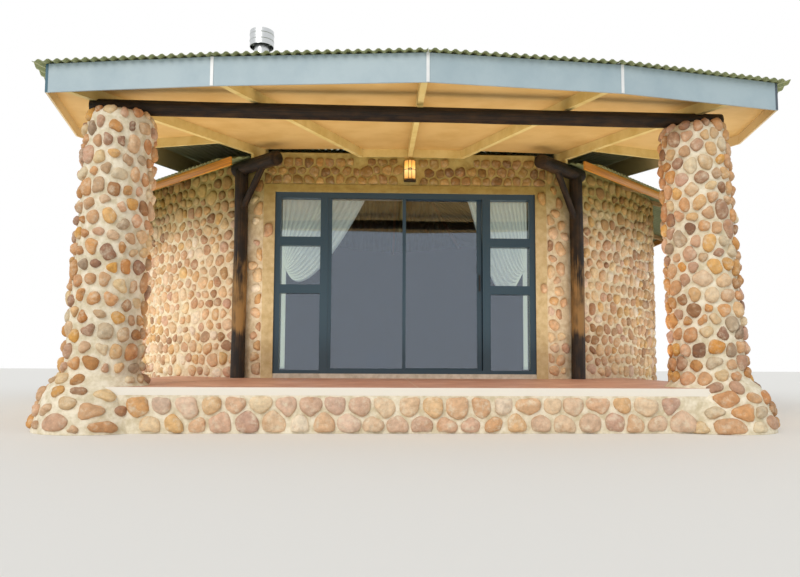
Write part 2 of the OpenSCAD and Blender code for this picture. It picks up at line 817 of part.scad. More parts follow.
// Ceiling boards between the rafters
module ceiling_bay(facet, points) {
    facet_layer(facet, rafter_show, rafter_show + ceiling_t)
        difference() {
            intersection() {
                polygon(points);
                inside_fascia();
            }
            for (i = [0 : rafter_count - 1]) rafter_plan(i, fit);
            hut_plan(fit);
        }
}

module veranda_ceiling() color("tan") {
    for (k = [0 : facet_count - 1])
        ceiling_bay(k, concat(
            [rafter_front(k)],
            [for (i = [0 : facet_count]) if (fascia_corner(i)[0] > rafter_front(k)[0]
                && fascia_corner(i)[0] < rafter_front(k + 1)[0]) fascia_corner(i)],
            [rafter_front(k + 1), rafter_wall(k + 1), rafter_wall(k)]
        ));
    ceiling_bay(0, [rafter_front(0), left_trim_in, left_trim_out, left_corner, fascia_corner(0)]);
    ceiling_bay(facet_count - 1,
        [rafter_front(rafter_count - 1), fascia_corner(facet_count), right_corner, right_trim_out, right_trim_in]);
}

// Boards that close the ceiling at its rear edges
module ceiling_trimmers() color("wheat") {
    facet_layer(0, 0, rafter_h) difference() {
        intersection() {
            right_strip(left_trim_in, left_trim_out, trimmer_t, 0, 100);
            inside_fascia();
        }
        rafter_plan(0, fit);
    }
    facet_layer(facet_count - 1, 0, rafter_h) difference() {
        intersection() {
            right_strip(right_trim_out, right_trim_in, trimmer_t, 100, 0);
            inside_fascia();
        }
        rafter_plan(rafter_count - 1, fit);
    }
    for (k = [1, 2])
        facet_layer(k, fit, rafter_show - fit) difference() {
            polygon([
                rafter_wall(k) - [0, trimmer_t + fit], rafter_wall(k + 1) - [0, trimmer_t + fit],
                rafter_wall(k + 1) - [0, fit], rafter_wall(k) - [0, fit]
            ]);
            for (i = [k, k + 1]) rafter_plan(i, fit);
        }
}

// Plan of one board of the fascia, mitred at its corners
module fascia_board(k) {
    a = edge_line[k];
    b = edge_line[k + 1];
    along = edge_dir(k) * fit / 2;
    polygon([a + along, b - along, b - along + fascia_t * mitre(k + 1), a + along + fascia_t * mitre(k)]);
}

// Level boards along the front and sloping boards along the sides
module veranda_fascia() color("lightblue") {
    last = len(edge_line) - 2;
    for (k = [2 : last - 2])
        translate([0, 0, fascia_z]) linear_extrude(fascia_h) fascia_board(k);
    facet_layer(0, 0, rafter_h) fascia_board(1);
    facet_layer(facet_count - 1, 0, rafter_h) fascia_board(last - 1);
    difference() {
        union() {
            facet_layer(0, 0, rafter_h) fascia_board(0);
            facet_layer(facet_count - 1, 0, rafter_h) fascia_board(last);
        }
        roof_body(cap_lift);
        side_hip_room();
    }
}

// Room for the two hips that end the veranda roof, and all that lies behind them
module side_hip_room() {
    for (s = [-1, 1])
        rotate(1.5 * s * side_angle)
            translate([s < 0 ? -far / 4 : -hip_wing - 2, -far / 2, 0])
                cube([far / 4 + hip_wing + 2, far / 2, far / 2]);
}

// Cover strips over the joints of the front fascia
module fascia_cover_strips() color("white")
    for (i = [1 : facet_count - 1])
        translate([fascia_corner(i)[0], fascia_corner(i)[1], fascia_z + fit])
            rotate((facet_dir[i - 1] + facet_dir[i]) / 2)
                translate([-cover_strip_w / 2, -5.5, 0]) cube([cover_strip_w, 5, fascia_h - 2 * fit]);

// Left, right, front and rear edge of a blank sheet that covers any facet
sheet_blank = [-0.76, 1.085, -0.05, 1.565] * wall_r;

// Outline of the sheets on one facet
module sheet_plan(k) {
    out = [0, -sheet_over];
    side = [sheet_side_over, 0];
    left = k == 0;
    right = k == facet_count - 1;
    a = left ? fascia_corner(0) + out - side : fascia_corner(k) + out * 1.2 + [0.5, 0];
    b = right ? fascia_corner(facet_count) + out + side : fascia_corner(k + 1) + out * 1.2 - [0.5, 0];
    polygon(concat(
        [a, b],
        right ? [right_corner + side, right_rear + side] : [on_rafter(k + 1, sheet_rear_y) - [0.5, 0]],
        left ? [left_rear - side, left_corner - side] : [on_rafter(k, sheet_rear_y) + [0.5, 0]]
    ));
}

module veranda_sheets() color("darkseagreen")
    for (k = [0 : facet_count - 1])
        difference() {
            intersection() {
                on_facet(k) translate([0, 0, fascia_h]) corrugated(sheet_blank[0], sheet_blank[1], sheet_blank[2], sheet_blank[3]);
                linear_extrude(far) sheet_plan(k);
            }
            roof_body(cap_lift);
            side_hip_room();
        }

// Main roof

// One rafter of the main roof, under the middle of a side or under a hip
module roof_rafter(side, hip, extra) {
    slope = hip ? hip_slope : roof_pitch;
    end = eave_r - eave_board_t - fit;
    reach = hip ? end / cos(half_angle) - roof_rafter_w / 2 * tan(half_angle) : end;
    drop = roof_rafter_h + rafter_w / 2 * tan(hip ? wing_drop : 0);
    intersection() {
        translate([0, 0, roof_plane_z(0)]) rotate([slope, 0, 0])
            translate([-roof_rafter_w / 2 - extra, -far / 2, -drop - extra])
                cube([roof_rafter_w + 2 * extra, far / 2, roof_rafter_h - 2 * fit + (extra > 0 ? drop : 0)]);
        translate([-far / 2, -reach - extra, 0]) cube([far, reach - peak_block_r - fit + extra, far / 2]);
    }
}

// All rafters that reach a side of the hut, clear of the veranda
module roof_rafter_set(extra) {
    difference() {
        for (side = [0 : sides - 1]) {
            rotate(side * side_angle) roof_rafter(side, false, extra);
            rotate(side * side_angle + half_angle) roof_rafter(side, true, extra);
        }
        linear_extrude(far) veranda_void(rafter_stop - extra);
    }
}

module roof_rafters() color("goldenrod") {
    roof_rafter_set(0);
    difference() {
        translate([0, 0, roof_plane_z(peak_block_r) - roof_rafter_h])
            cylinder(h = peak_block_r * tan(roof_pitch) + roof_rafter_h, r = peak_block_r);
        translate([0, 0, -fit * 2]) roof_shell();
    }
}

// Everything above the underside of the main roof sheets
module roof_shell() {
    for (side = [0 : sides - 1])
        on_side(side) translate([-far / 2, -far / 4, 0]) cube([far, far, far]);
}

module roof_sheets() color("darkseagreen")
    for (side = [0 : sides - 1])
        intersection() {
            on_side(side) corrugated(-half_eave - 60, half_eave + 60, -far / 8, far / 2);
            rotate(side * side_angle) linear_extrude(far) difference() {
                translate([0, -1.5]) side_wedge(eave_r + sheet_over);
                rotate(-side * side_angle) veranda_void(sheet_stop);
            }
        }

// Folded caps with a roll over each hip, and a round cap at the peak
module hip_caps() color("seagreen") {
    for (side = [0 : sides - 1])
        rotate(side * side_angle + half_angle)
            difference() {
                hip_cap(side == 0 ? hip_meets(facet_count - 1, 1) : side == sides - 1 ? hip_meets(0, -1) : hip_end);
                cylinder(h = far, r = peak_r + fit);
            }
    difference() {
        rotate_extrude() polygon([
            [0, roof_plane_z(peak_r)], [peak_r, roof_plane_z(peak_r)], [peak_r, peak_rim_z],
            [hip_roll_r, peak_rim_z + peak_r * tan(roof_pitch)], [0, peak_rim_z + peak_r * tan(roof_pitch)]
        ]);
        roof_body(cap_lift);
    }
}

// One cap along its hip, from the peak to a distance from the middle
module hip_cap(end) {
    translate([0, 0, roof_plane_z(0) + cap_lift]) rotate([90 + hip_slope, 0, 0])
        linear_extrude(end / cos(hip_slope)) {
            for (m = [0, 1])
                mirror([m, 0]) rotate(-wing_drop) square([hip_wing, sheet_t]);
            translate([0, hip_roll_r]) circle(r = hip_roll_r);
        }
}

// Distance from the middle at which a front hip meets the sheets of a veranda facet
function hip_meets(k, s) = let (
        u = [s * sin(half_angle), -cos(half_angle)],
        rise = facet_z(k, u) - facet_z(k, [0, 0]),
        over = roof_plane_z(0) + cap_lift - facet_z(k, [0, 0]) - (fascia_h + crest_h) / cos(veranda_pitch)
    ) over / (tan(hip_slope) + rise) - hip_end_gap;

module eave_boards() color("goldenrod")
    for (side = [1 : sides - 1])
        rotate(side * side_angle)
            translate([0, 0, eave_z]) linear_extrude(eave_board_h)
                intersection() {
                    side_wedge(eave_r);
                    translate([-half_eave, -eave_r]) square([2 * half_eave, eave_board_t]);
                }

// Flue

flue_d = norm(flue_xy) * cos(atan2(-flue_xy[0], -flue_xy[1]) - side_angle);
flue_base_z = roof_plane_z(flue_d);
flashing_r = flue_r + 25;
module flue_pipe() color("silver")
    translate([flue_xy[0], flue_xy[1], 0])
        difference() {
            union() {
                translate([0, 0, flue_base_z - flashing_r]) cylinder(h = flue_top_z - flue_base_z + flashing_r, r = flue_r);
                translate([0, 0, flue_base_z - flashing_r]) cylinder(h = 2 * flashing_r, r1 = flashing_r, r2 = flue_r + 6);
            }
            translate([0, 0, flue_base_z - 2 * flashing_r]) cylinder(h = far, r = flue_r - sheet_t);
            translate([-flue_xy[0], -flue_xy[1], 0]) roof_body(cap_lift);
        }

module flue_cowl() color("silver")
    translate([flue_xy[0], flue_xy[1], flue_top_z - cowl_drop]) {
        rotate_extrude() polygon([
            [cowl_r - 4, 0], [cowl_r, 0],
            [cowl_r, 0.32 * cowl_h], [cowl_r + 5, 0.34 * cowl_h], [cowl_r, 0.36 * cowl_h],
            [cowl_r, 0.7 * cowl_h], [cowl_r + 5, 0.72 * cowl_h], [cowl_r, 0.74 * cowl_h],
            [cowl_r, 0.97 * cowl_h], [cowl_r - 10, cowl_h], [cowl_r - 14, cowl_h],
            [cowl_r - 4, 0.96 * cowl_h]
        ]);
        for (a = [0 : 60 : 120])
            rotate(a) difference() {
                translate([-cowl_r + 2, -10, 40]) cube([2 * cowl_r - 4, 20, 4]);
                cylinder(h = cowl_drop, r = flue_r + fit);
            }
        translate([0, 0, 0.75 * cowl_h]) cylinder(h = 4, r = cowl_r - 2);
    }

// Lamp above the door

lamp_base_h = 24;
lamp_z = head_z + surround_h + lamp_rise + lamp_base_h;
lamp_h = facet_z(1, rafter_wall(2)) - lamp_room - lamp_z;
module lamp_half() {
    intersection() {
        translate([lamp_x, flat_y - 6 - fit, 0]) children();
        translate([-far / 2, flat_y - 6 - fit - far, 0]) cube([far, far, far]);
    }
}

module lamp_shade() color("orange")
    lamp_half() translate([0, 0, lamp_z]) rotate_extrude() polygon([
        [lamp_r - 4, 0], [lamp_r, 0], [lamp_r, 0.97 * lamp_h], [lamp_r - 7, lamp_h], [lamp_r - 12, lamp_h],
        [lamp_r - 4, 0.96 * lamp_h]
    ]);

module lamp_frame() color("black") {
    translate([lamp_x - lamp_r - 4, flat_y - 6, lamp_z - lamp_base_h]) cube([2 * lamp_r + 8, 6 - fit, lamp_h + lamp_base_h]);
    lamp_half() translate([0, 0, lamp_z - lamp_base_h]) cylinder(h = lamp_base_h - fit, r = lamp_r + 4);
}

// Curtains

rail_z = head_z - 40;
rail_y = frame_front_y + frame_d + 75;
module curtain_rail() color("white") {
    pole([-door_w / 2 + 60, rail_y, rail_z], [door_w / 2 - 60, rail_y, rail_z], rail_r);
    for (x = [-door_w / 2 + 90, 0, door_w / 2 - 90])
        translate([x - 8, rail_y - 8, rail_z]) cube([16, 16, head_z - rail_z]);
}

// A sheer curtain drawn back behind its side light
module curtain(s) {
    top = rail_z - rail_r - fit;
    outer = door_w / 2 - 60;
    inner = outer - of_side(curtain_w, s);
    held_x = light_in_x + 40;
    swag = 100;
    upright(rail_y - curtain_t / 2, curtain_t)
        polygon([for (p = [
            [outer, top], [inner, top], [inner + 30, top - 0.3 * curtain_drop],
            [held_x, top - curtain_drop], [held_x + 90, top - curtain_drop - 0.8 * swag],
            [(held_x + outer) / 2 + 60, top - curtain_drop - swag], [outer, top - curtain_drop - 0.4 * swag]
        ]) [s * p[0], p[1]]]);
}
module curtains() color("white") for (s = [-1, 1]) curtain(s);

hut_floor();
door_threshold();
right_front_wall();
right_wall();
right_back_wall();
back_wall();
left_back_wall();
left_wall();
left_front_wall();
door_head_wall();
plaster_surround();
door_frame();
left_side_glass();
right_side_glass();
fixed_door_panel();
fixed_door_glass();
sliding_door_panel();
sliding_door_glass();
sliding_door_handle();
terrace_fill();
front_plinth();
side_plinths();
terrace_floor();
left_pillar();
right_pillar();
front_beam();
beam_saddles();
wall_posts();
bracket_poles();
knee_braces();
veranda_rafters();
veranda_ceiling();
ceiling_trimmers();
veranda_fascia();
fascia_cover_strips();
veranda_sheets();
roof_rafters();
roof_sheets();
hip_caps();
eave_boards();
flue_pipe();
flue_cowl();
lamp_frame();
lamp_shade();
curtain_rail();
curtains();
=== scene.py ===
# %% [markdown]
# # A round stone hut under an iron roof
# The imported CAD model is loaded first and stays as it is. This script gives its pieces
# their finish and adds what is too small or too irregular for CAD: field stones in
# mortar, tarred round poles with cracks, sheer curtains and the lattice of the lamp.
# Lengths are in metres, in the CAD frame: +X right, +Y into the hut, +Z up.

# %% Load the frame
import math

import bpy
import numpy as np
from mathutils import Matrix, Vector


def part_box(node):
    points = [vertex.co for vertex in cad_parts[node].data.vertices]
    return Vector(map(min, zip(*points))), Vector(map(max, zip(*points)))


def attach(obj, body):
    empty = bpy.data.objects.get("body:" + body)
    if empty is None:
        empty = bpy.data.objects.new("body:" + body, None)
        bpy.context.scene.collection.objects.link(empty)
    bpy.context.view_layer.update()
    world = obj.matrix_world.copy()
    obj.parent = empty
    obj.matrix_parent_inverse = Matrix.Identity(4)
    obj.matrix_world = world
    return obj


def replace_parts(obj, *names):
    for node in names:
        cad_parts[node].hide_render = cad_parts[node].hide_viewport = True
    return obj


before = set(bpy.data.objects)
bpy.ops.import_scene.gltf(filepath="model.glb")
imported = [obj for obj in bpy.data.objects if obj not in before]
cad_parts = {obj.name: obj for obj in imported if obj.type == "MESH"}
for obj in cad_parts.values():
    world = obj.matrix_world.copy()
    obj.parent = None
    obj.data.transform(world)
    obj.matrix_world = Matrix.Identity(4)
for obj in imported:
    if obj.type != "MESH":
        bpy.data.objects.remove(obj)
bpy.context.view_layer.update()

HUT = "hut"

# %% [markdown]
# ## The camera
# A photograph fixes its camera: once a few corners of known size are matched, only one
# position and lens fit them all. Here the lens is 720 pixels long on an 800 pixel wide
# picture, which is 32.4 mm on a 36 mm sensor. The optical axis lies 19 pixels below the
# middle of the picture, so the picture was cropped, and a small shift gives that back.

# %% Camera
PICTURE_W = 800
FOCAL_PX = 720.0
AXIS_BELOW_PX = 19.0
CAMERA_AT = Vector((-0.311, -11.802, 0.520))
YAW, PITCH, ROLL = math.radians(1.74), math.radians(4.55), math.radians(0.27)


def placed(name, data):
    """New object with this data, in the scene."""
    obj = bpy.data.objects.new(name, data)
    bpy.context.scene.collection.objects.link(obj)
    return obj


camera_data = bpy.data.cameras.new("camera")
camera_data.sensor_width = 36.0
camera_data.lens = camera_data.sensor_width * FOCAL_PX / PICTURE_W
camera_data.shift_y = AXIS_BELOW_PX / PICTURE_W
camera = placed("camera", camera_data)
bpy.context.scene.camera = camera
turn = Matrix.Rotation(-YAW, 4, "Z") @ Matrix.Rotation(math.pi / 2 + PITCH, 4, "X")
camera.matrix_world = Matrix.Translation(CAMERA_AT) @ turn @ Matrix.Rotation(ROLL, 4, "Z")
print("lens", round(camera_data.lens, 2), "mm")

# %% [markdown]
# ## Colours and nodes
# Colours are easiest to compare as sRGB hex, but a renderer adds light in linear values,
# so one function turns them. Materials and the world are trees of nodes, and one small
# function adds a node, sets its plain values and links what other nodes give it. A
# finish starts as one Principled material with plain values.

# %% Colours and nodes
def linear(colour):
    """sRGB hex to linear RGBA: each channel c becomes ((c + 0.055) / 1.055) to the power 2.4."""
    rgb = [int(colour[i:i + 2], 16) / 255 for i in (1, 3, 5)]
    return (*[c / 12.92 if c <= 0.04045 else ((c + 0.055) / 1.055) ** 2.4 for c in rgb], 1.0)


def add(tree, kind, inputs=None, **settings):
    """Adds one node with its settings, and links or sets each of its inputs."""
    node = tree.nodes.new(kind)
    for name, value in settings.items():
        setattr(node, name, value)
    for name, value in (inputs or {}).items():
        if isinstance(value, bpy.types.NodeSocket):
            tree.links.new(value, node.inputs[name])
        else:
            node.inputs[name].default_value = value
    return node


def new_material(name, colour, roughness, metallic=0.0):
    """A Principled material with its plain values set; patterns are added to its tree."""
    material = bpy.data.materials.new(name)
    material.use_nodes = True
    shader = material.node_tree.nodes["Principled BSDF"]
    shader.inputs["Base Color"].default_value = linear(colour)
    shader.inputs["Roughness"].default_value = roughness
    shader.inputs["Metallic"].default_value = metallic
    return material, material.node_tree, shader


def result(tree, operation, first, second):
    """Result of one operation on two numbers."""
    return add(tree, "ShaderNodeMath", {0: first, 1: second}, operation=operation).outputs[0]


print("red", linear("#ff0000"), "and middle grey", [round(v, 3) for v in linear("#808080")])

# %% [markdown]
# ## Light, floor and background
# The light is broad and soft: a pale world from all round, and one wide sun from the
# front left that gives the stones their shape. Under a veranda and the eaves much light
# comes up from below, and low area lamps facing up do that.
# The background is white only for rays that the camera, a mirror or a pane sends out.

# %% Daylight
DAY_COLOUR, DAY_STRENGTH = "#f3f5f8", 0.74

world = bpy.data.worlds.new("soft daylight")
bpy.context.scene.world = world
world.use_nodes = True
tree = world.node_tree
tree.nodes.clear()
rays = add(tree, "ShaderNodeLightPath").outputs
seen = result(tree, "MAXIMUM", rays["Is Camera Ray"], rays["Is Glossy Ray"])
seen = result(tree, "MAXIMUM", seen, rays["Is Transmission Ray"])
day = add(tree, "ShaderNodeBackground", {"Color": linear(DAY_COLOUR), "Strength": DAY_STRENGTH})
backdrop = add(tree, "ShaderNodeBackground", {"Color": linear("#ffffff"), "Strength": 1.0})
mixed = add(tree, "ShaderNodeMixShader", {0: seen, 1: day.outputs[0], 2: backdrop.outputs[0]})
add(tree, "ShaderNodeOutputWorld", {"Surface": mixed.outputs[0]})
bpy.context.scene.view_settings.view_transform = "Standard"
print("daylight strength", DAY_STRENGTH)

# %% Sun and ground light
SUN_ENERGY, SUN_WIDTH = 1.5, math.radians(38)
SUN_STEEP, SUN_FROM_LEFT = math.radians(57), math.radians(24)
BOUNCES = (("ground bounce, veranda", (0.0, -4.95, 0.62), (6.4, 1.8), 68.0),
           ("ground bounce, left", (-4.35, -3.6, 0.25), (1.6, 2.6), 26.0),
           ("ground bounce, right", (4.35, -3.6, 0.25), (1.6, 2.6), 26.0))

sun_data = bpy.data.lights.new("soft sun", "SUN")
sun_data.energy, sun_data.angle, sun_data.color = SUN_ENERGY, SUN_WIDTH, (1.0, 0.965, 0.91)
placed("soft sun", sun_data).rotation_euler = (SUN_STEEP, 0.0, -SUN_FROM_LEFT)

for label, middle, size, watts in BOUNCES:
    bounce_data = bpy.data.lights.new(label, "AREA")
    bounce_data.shape = "RECTANGLE"
    bounce_data.size, bounce_data.size_y = size
    bounce_data.energy, bounce_data.color = watts, (1.0, 0.95, 0.86)
    bounce = placed(label, bounce_data)
    bounce.location = middle
    bounce.rotation_euler = (math.pi, 0.0, 0.0)
    bounce.visible_camera = bounce.visible_glossy = bounce.visible_transmission = False
print("sun and", len(BOUNCES), "lamps for the light from the ground")

# %% Studio floor
FLOOR_HALF, FLOOR_Z = 60.0, -0.001
CORNERS = ((-1, -1), (1, -1), (1, 1), (-1, 1))

floor_mesh = bpy.data.meshes.new("studio floor")
corners = [(x * FLOOR_HALF, y * FLOOR_HALF, FLOOR_Z) for x, y in CORNERS]
floor_mesh.from_pydata(corners, [], [(0, 1, 2, 3)])
floor = placed("studio floor", floor_mesh)
floor_mesh.materials.append(new_material("pale studio paper", "#e9e8e4", 0.9)[0])
print("floor", 2 * FLOOR_HALF, "m wide")

# %% [markdown]
# ## Helpers for pieces
# Every new piece is a mesh whose points are worked out as whole arrays. A grid of rows
# and columns needs only its four-cornered faces, and those come from one formula.

# %% Piece helpers
def grid_faces(rows, cols, wrap):
    """Faces of a grid: point (r, c) joins (r, c + 1), (r + 1, c + 1), (r + 1, c); wrap closes the columns."""
    r, c = np.mgrid[0:rows - 1, 0:cols if wrap else cols - 1]
    right = (c + 1) % cols
    here, above = r * cols, (r + 1) * cols
    return np.stack([here + c, here + right, above + right, above + c], -1).reshape(-1, 4)


def closed_faces(rings, turns):
    """Faces of rings of points that close on a tip past the last ring and on one before the first."""
    spoke = np.arange(turns)
    ahead = (spoke + 1) % turns
    last = (rings - 1) * turns
    tip, bottom = np.full(turns, rings * turns), np.full(turns, rings * turns + 1)
    return np.concatenate([grid_faces(rings, turns, True),
                           np.stack([last + spoke, last + ahead, tip, tip], -1),
                           np.stack([ahead, spoke, bottom, bottom], -1)])


def unit(vectors):
    """Each vector over its own length."""
    return vectors / np.linalg.norm(vectors, axis=-1, keepdims=True)


def piece(name, points, faces, material, body=HUT, smooth=True, tone=None, uv=None):
    """Makes a mesh object from (n, 3) points and (m, 4) faces; a face of three repeats its last corner."""
    points = np.asarray(points, np.float32)
    faces = np.asarray(faces, np.int64)
    triangle = faces[:, 2] == faces[:, 3]
    counts = np.where(triangle, 3, 4)
    starts = np.concatenate([[0], np.cumsum(counts)[:-1]])
    keep = np.ones(faces.shape, bool)
    keep[triangle, 3] = False
    loops = faces[keep]
    mesh = bpy.data.meshes.new(name)
    mesh.vertices.add(len(points))
    mesh.vertices.foreach_set("co", points.ravel())
    mesh.loops.add(len(loops))
    mesh.loops.foreach_set("vertex_index", loops.astype(np.int32))
    mesh.polygons.add(len(faces))
    mesh.polygons.foreach_set("loop_start", starts.astype(np.int32))
    mesh.polygons.foreach_set("loop_total", counts.astype(np.int32))
    mesh.update(calc_edges=True)
    mesh.polygons.foreach_set("use_smooth", np.full(len(faces), smooth))
    if tone is not None:
        values = mesh.attributes.new("tone", "FLOAT", "POINT").data
        values.foreach_set("value", np.asarray(tone, np.float32))
    if uv is not None:
        layer = mesh.uv_layers.new(name="along")
        layer.data.foreach_set("uv", np.asarray(uv, np.float32)[loops].ravel())
    mesh.materials.append(material)
    obj = placed(name, mesh)
    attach(obj, body)
    return obj


print("a grid of 3 by 3 points has", len(grid_faces(3, 3, False)), "faces")

# %% [markdown]
# ## Helpers for finishes
# Patterns are read at Object coordinates, which are metres in the CAD frame, so a noise
# of scale 16 makes blotches of about 1/16 m, or 60 mm. Colours of a pattern come from a
# ramp, and its relief from bump nodes, the fine grain under the broad one.

# %% Finish helpers
def finish_node(material, *nodes):
    """Puts the material on the slots of CAD nodes."""
    for node in nodes:
        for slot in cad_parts[node].material_slots:
            slot.material = material


def place_in(tree):
    """Object coordinates of the point: metres in the CAD frame."""
    return add(tree, "ShaderNodeTexCoord").outputs["Object"]


def height_in(tree):
    """Height of the point over the ground."""
    return add(tree, "ShaderNodeSeparateXYZ", {0: place_in(tree)}).outputs["Z"]


def normal_in(tree):
    """The face's own normal, before bump and smoothing."""
    return add(tree, "ShaderNodeNewGeometry").outputs["True Normal"]


def facing_in(tree):
    """How much the face looks up: 1 for a floor, -1 for a ceiling."""
    return add(tree, "ShaderNodeSeparateXYZ", {0: normal_in(tree)}).outputs["Z"]


def noise(tree, place, scale, detail, roughness=0.5):
    """Soft random value from 0 to 1 whose patches are about 1 / scale metres wide."""
    inputs = {"Vector": place, "Scale": scale, "Detail": detail, "Roughness": roughness}
    return add(tree, "ShaderNodeTexNoise", inputs).outputs["Fac"]


def span(tree, value, given, wanted=(0.0, 1.0)):
    """Value moved in proportion from the range given to the range wanted, and held at its ends."""
    inputs = {"Value": value, "From Min": given[0], "From Max": given[1],
              "To Min": wanted[0], "To Max": wanted[1]}
    return add(tree, "ShaderNodeMapRange", inputs).outputs[0]


def times(tree, first, second):
    """Product of two colours, channel by channel."""
    return add(tree, "ShaderNodeVectorMath", {0: first, 1: second}, operation="MULTIPLY").outputs[0]


def mix(tree, factor, first, second):
    """Colour that goes from first to second as factor goes from 0 to 1."""
    return add(tree, "ShaderNodeMix", {"Factor": factor, 6: first, 7: second}, data_type="RGBA").outputs[2]


def ramp_of(tree, value, *stops):
    """Colour ramp whose stops are (position, sRGB hex) pairs."""
    node = add(tree, "ShaderNodeValToRGB", {"Fac": value})
    while len(node.color_ramp.elements) < len(stops):
        node.color_ramp.elements.new(0.5)
    for element, (position, colour) in zip(node.color_ramp.elements, stops):
        element.position, element.color = position, linear(colour)
    return node.outputs["Color"]


def patterned(tree, shader, colour, *layers):
    """Colour and relief of a pattern; relief is layers of (height, metres, strength), the finest first."""
    if colour is not None:
        tree.links.new(colour, shader.inputs["Base Color"])
    for height, metres, strength in layers:
        layer = add(tree, "ShaderNodeBump", {"Height": height, "Distance": metres, "Strength": strength})
        for link in shader.inputs["Normal"].links:
            tree.links.new(link.from_socket, layer.inputs["Normal"])
        tree.links.new(layer.outputs["Normal"], shader.inputs["Normal"])


print(len(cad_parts), "CAD nodes to finish")

# %% [markdown]
# ## Mortar, plaster and screed
# Lime and sand mortar dries matt and slightly grainy: sand of 1 to 2 mm gives the fine
# bump and trowel strokes of 5 to 10 cm the broad one. The inner face of the walls is
# plastered in a dark grey that is painted shade for the unlit room, and a face is inner
# where its normal points at the middle.
# Under the veranda's ceiling the mortar, the stones and the plaster carry painted shade:
# they turn darker and yellower with the height, for the shade and the tan light from the ceiling.

# %% Mortar and plaster
# Painted shade under the ceiling: colours darken and turn yellower between these two heights.
PAINTED_SHADE_HEIGHTS = (1.95, 2.55)
PAINTED_SHADE_COLOUR = "#c2bb86"
WALLS = ["right_front_wall", "right_wall", "right_back_wall", "back_wall",
         "left_back_wall", "left_wall", "left_front_wall"]


def looks_in(tree, place):
    """1 where a face looks to the middle of the hut: there normal times place, on plan, is below zero."""
    flat = times(tree, place, (1.0, 1.0, 0.0))
    along = add(tree, "ShaderNodeVectorMath", {0: flat, 1: normal_in(tree)}, operation="DOT_PRODUCT")
    return result(tree, "LESS_THAN", along.outputs["Value"], -0.4)


def smoked(tree, colour):
    """Painted shade: colour times a ramp over the height, from 1 low down to a dark ochre at the ceiling."""
    level = span(tree, height_in(tree), PAINTED_SHADE_HEIGHTS)
    return times(tree, colour, ramp_of(tree, level, (0.0, "#ffffff"), (1.0, PAINTED_SHADE_COLOUR)))


def mortar(name, light, dark, roughness=0.9, inner=None, smoke=False):
    """Mottled mortar: broad blotches choose between two shades, fine grain gives the bump."""
    material, tree, shader = new_material(name, light, roughness)
    place = place_in(tree)
    blotch = noise(tree, place, 14.0, 6.0, 0.62)
    colour = ramp_of(tree, blotch, (0.36, dark), (0.62, light))
    # Painted shade towards the ceiling, for walls under the veranda.
    if smoke:
        colour = smoked(tree, colour)
    strength = 0.7
    if inner:
        inside = looks_in(tree, place)
        colour = mix(tree, inside, colour, linear(inner))
        strength = span(tree, inside, (0.0, 1.0), (0.7, 0.05))
    grain = noise(tree, place, 160.0, 4.0)
    patterned(tree, shader, colour, (grain, 0.004, strength), (blotch, 0.012, strength))
    return material


# Painted shade: this mortar turns darker and yellower towards the ceiling.
# The dark grey inner colour is painted shade for the unlit room.
finish_node(mortar("beige sand mortar", "#efe2c6", "#d3c09b", inner="#5f5b55", smoke=True),
            *WALLS, "door_head_wall", "terrace_fill")
finish_node(mortar("off-white lime mortar", "#efe6d0", "#cfc2a2"),
            "front_plinth", "side_plinths", "left_pillar", "right_pillar")
# Painted shade: the plaster turns darker and yellower towards the ceiling.
finish_node(mortar("tan sand plaster", "#d3c197", "#bfa97c", smoke=True), "plaster_surround")
finish_node(mortar("polished concrete", "#6f6a64", "#5d5852", 0.5), "hut_floor")
finish_node(mortar("pale cast sill", "#d6d1c4", "#bdb6a6", 0.7), "door_threshold")
print("mortar on", len(WALLS), "wall segments, plinths, pillars, floor and sill")

# %% [markdown]
# The terrace floor is a terracotta coloured screed, floated smooth and scored with a
# few joints. Its edge is pointed with the same white mortar as the stones, so the
# material changes where the surface no longer faces up.

# %% Terrace screed
WHITE, BLACK = linear("#ffffff"), linear("#000000")
FIELD_W, FIELD_L, SCORE_W = 2.2, 1.3, 0.003

screed, tree, shader = new_material("terracotta screed", "#cf9f88", 0.5)
place = place_in(tree)
tint = ramp_of(tree, noise(tree, place, 3.0, 5.0, 0.6), (0.35, "#c28c74"), (0.68, "#dcae98"))
joints = add(tree, "ShaderNodeTexBrick", {"Vector": place, "Scale": 1.0, "Mortar Size": SCORE_W,
                                          "Brick Width": FIELD_W, "Row Height": FIELD_L,
                                          "Color1": WHITE, "Color2": WHITE, "Mortar": BLACK}, offset=0.0)
jointed = mix(tree, joints.outputs["Color"], linear("#d8c4ae"), tint)
up = result(tree, "GREATER_THAN", facing_in(tree), 0.5)
colour = mix(tree, up, linear("#e9e4d8"), jointed)
patterned(tree, shader, colour, (noise(tree, place, 45.0, 4.0), 0.003, 0.35))
finish_node(screed, "terrace_floor")
print("screed scored into fields of", FIELD_W, "by", FIELD_L, "m")

# %% [markdown]
# ## Field stones
# The walls are faced with rounded stones from a river bed, each pressed into mortar with
# a gap of 1 to 3 cm. Scattering ready-made stones would make them overlap, so the wall
# is divided first: every stone owns the ground that is nearer to it than to its
# neighbours. The sites start on a staggered grid, so a stone's neighbours are always
# the sites within two steps, and a few rounds of moving each site to the middle of its
# cell even out the gaps.

# %% Stone cells
NEIGHBOURS = [(a, b) for a in range(-2, 3) for b in range(-2, 3) if (a, b) != (0, 0)]
ROUNDS, ROUND_SHARE = 5, 0.6


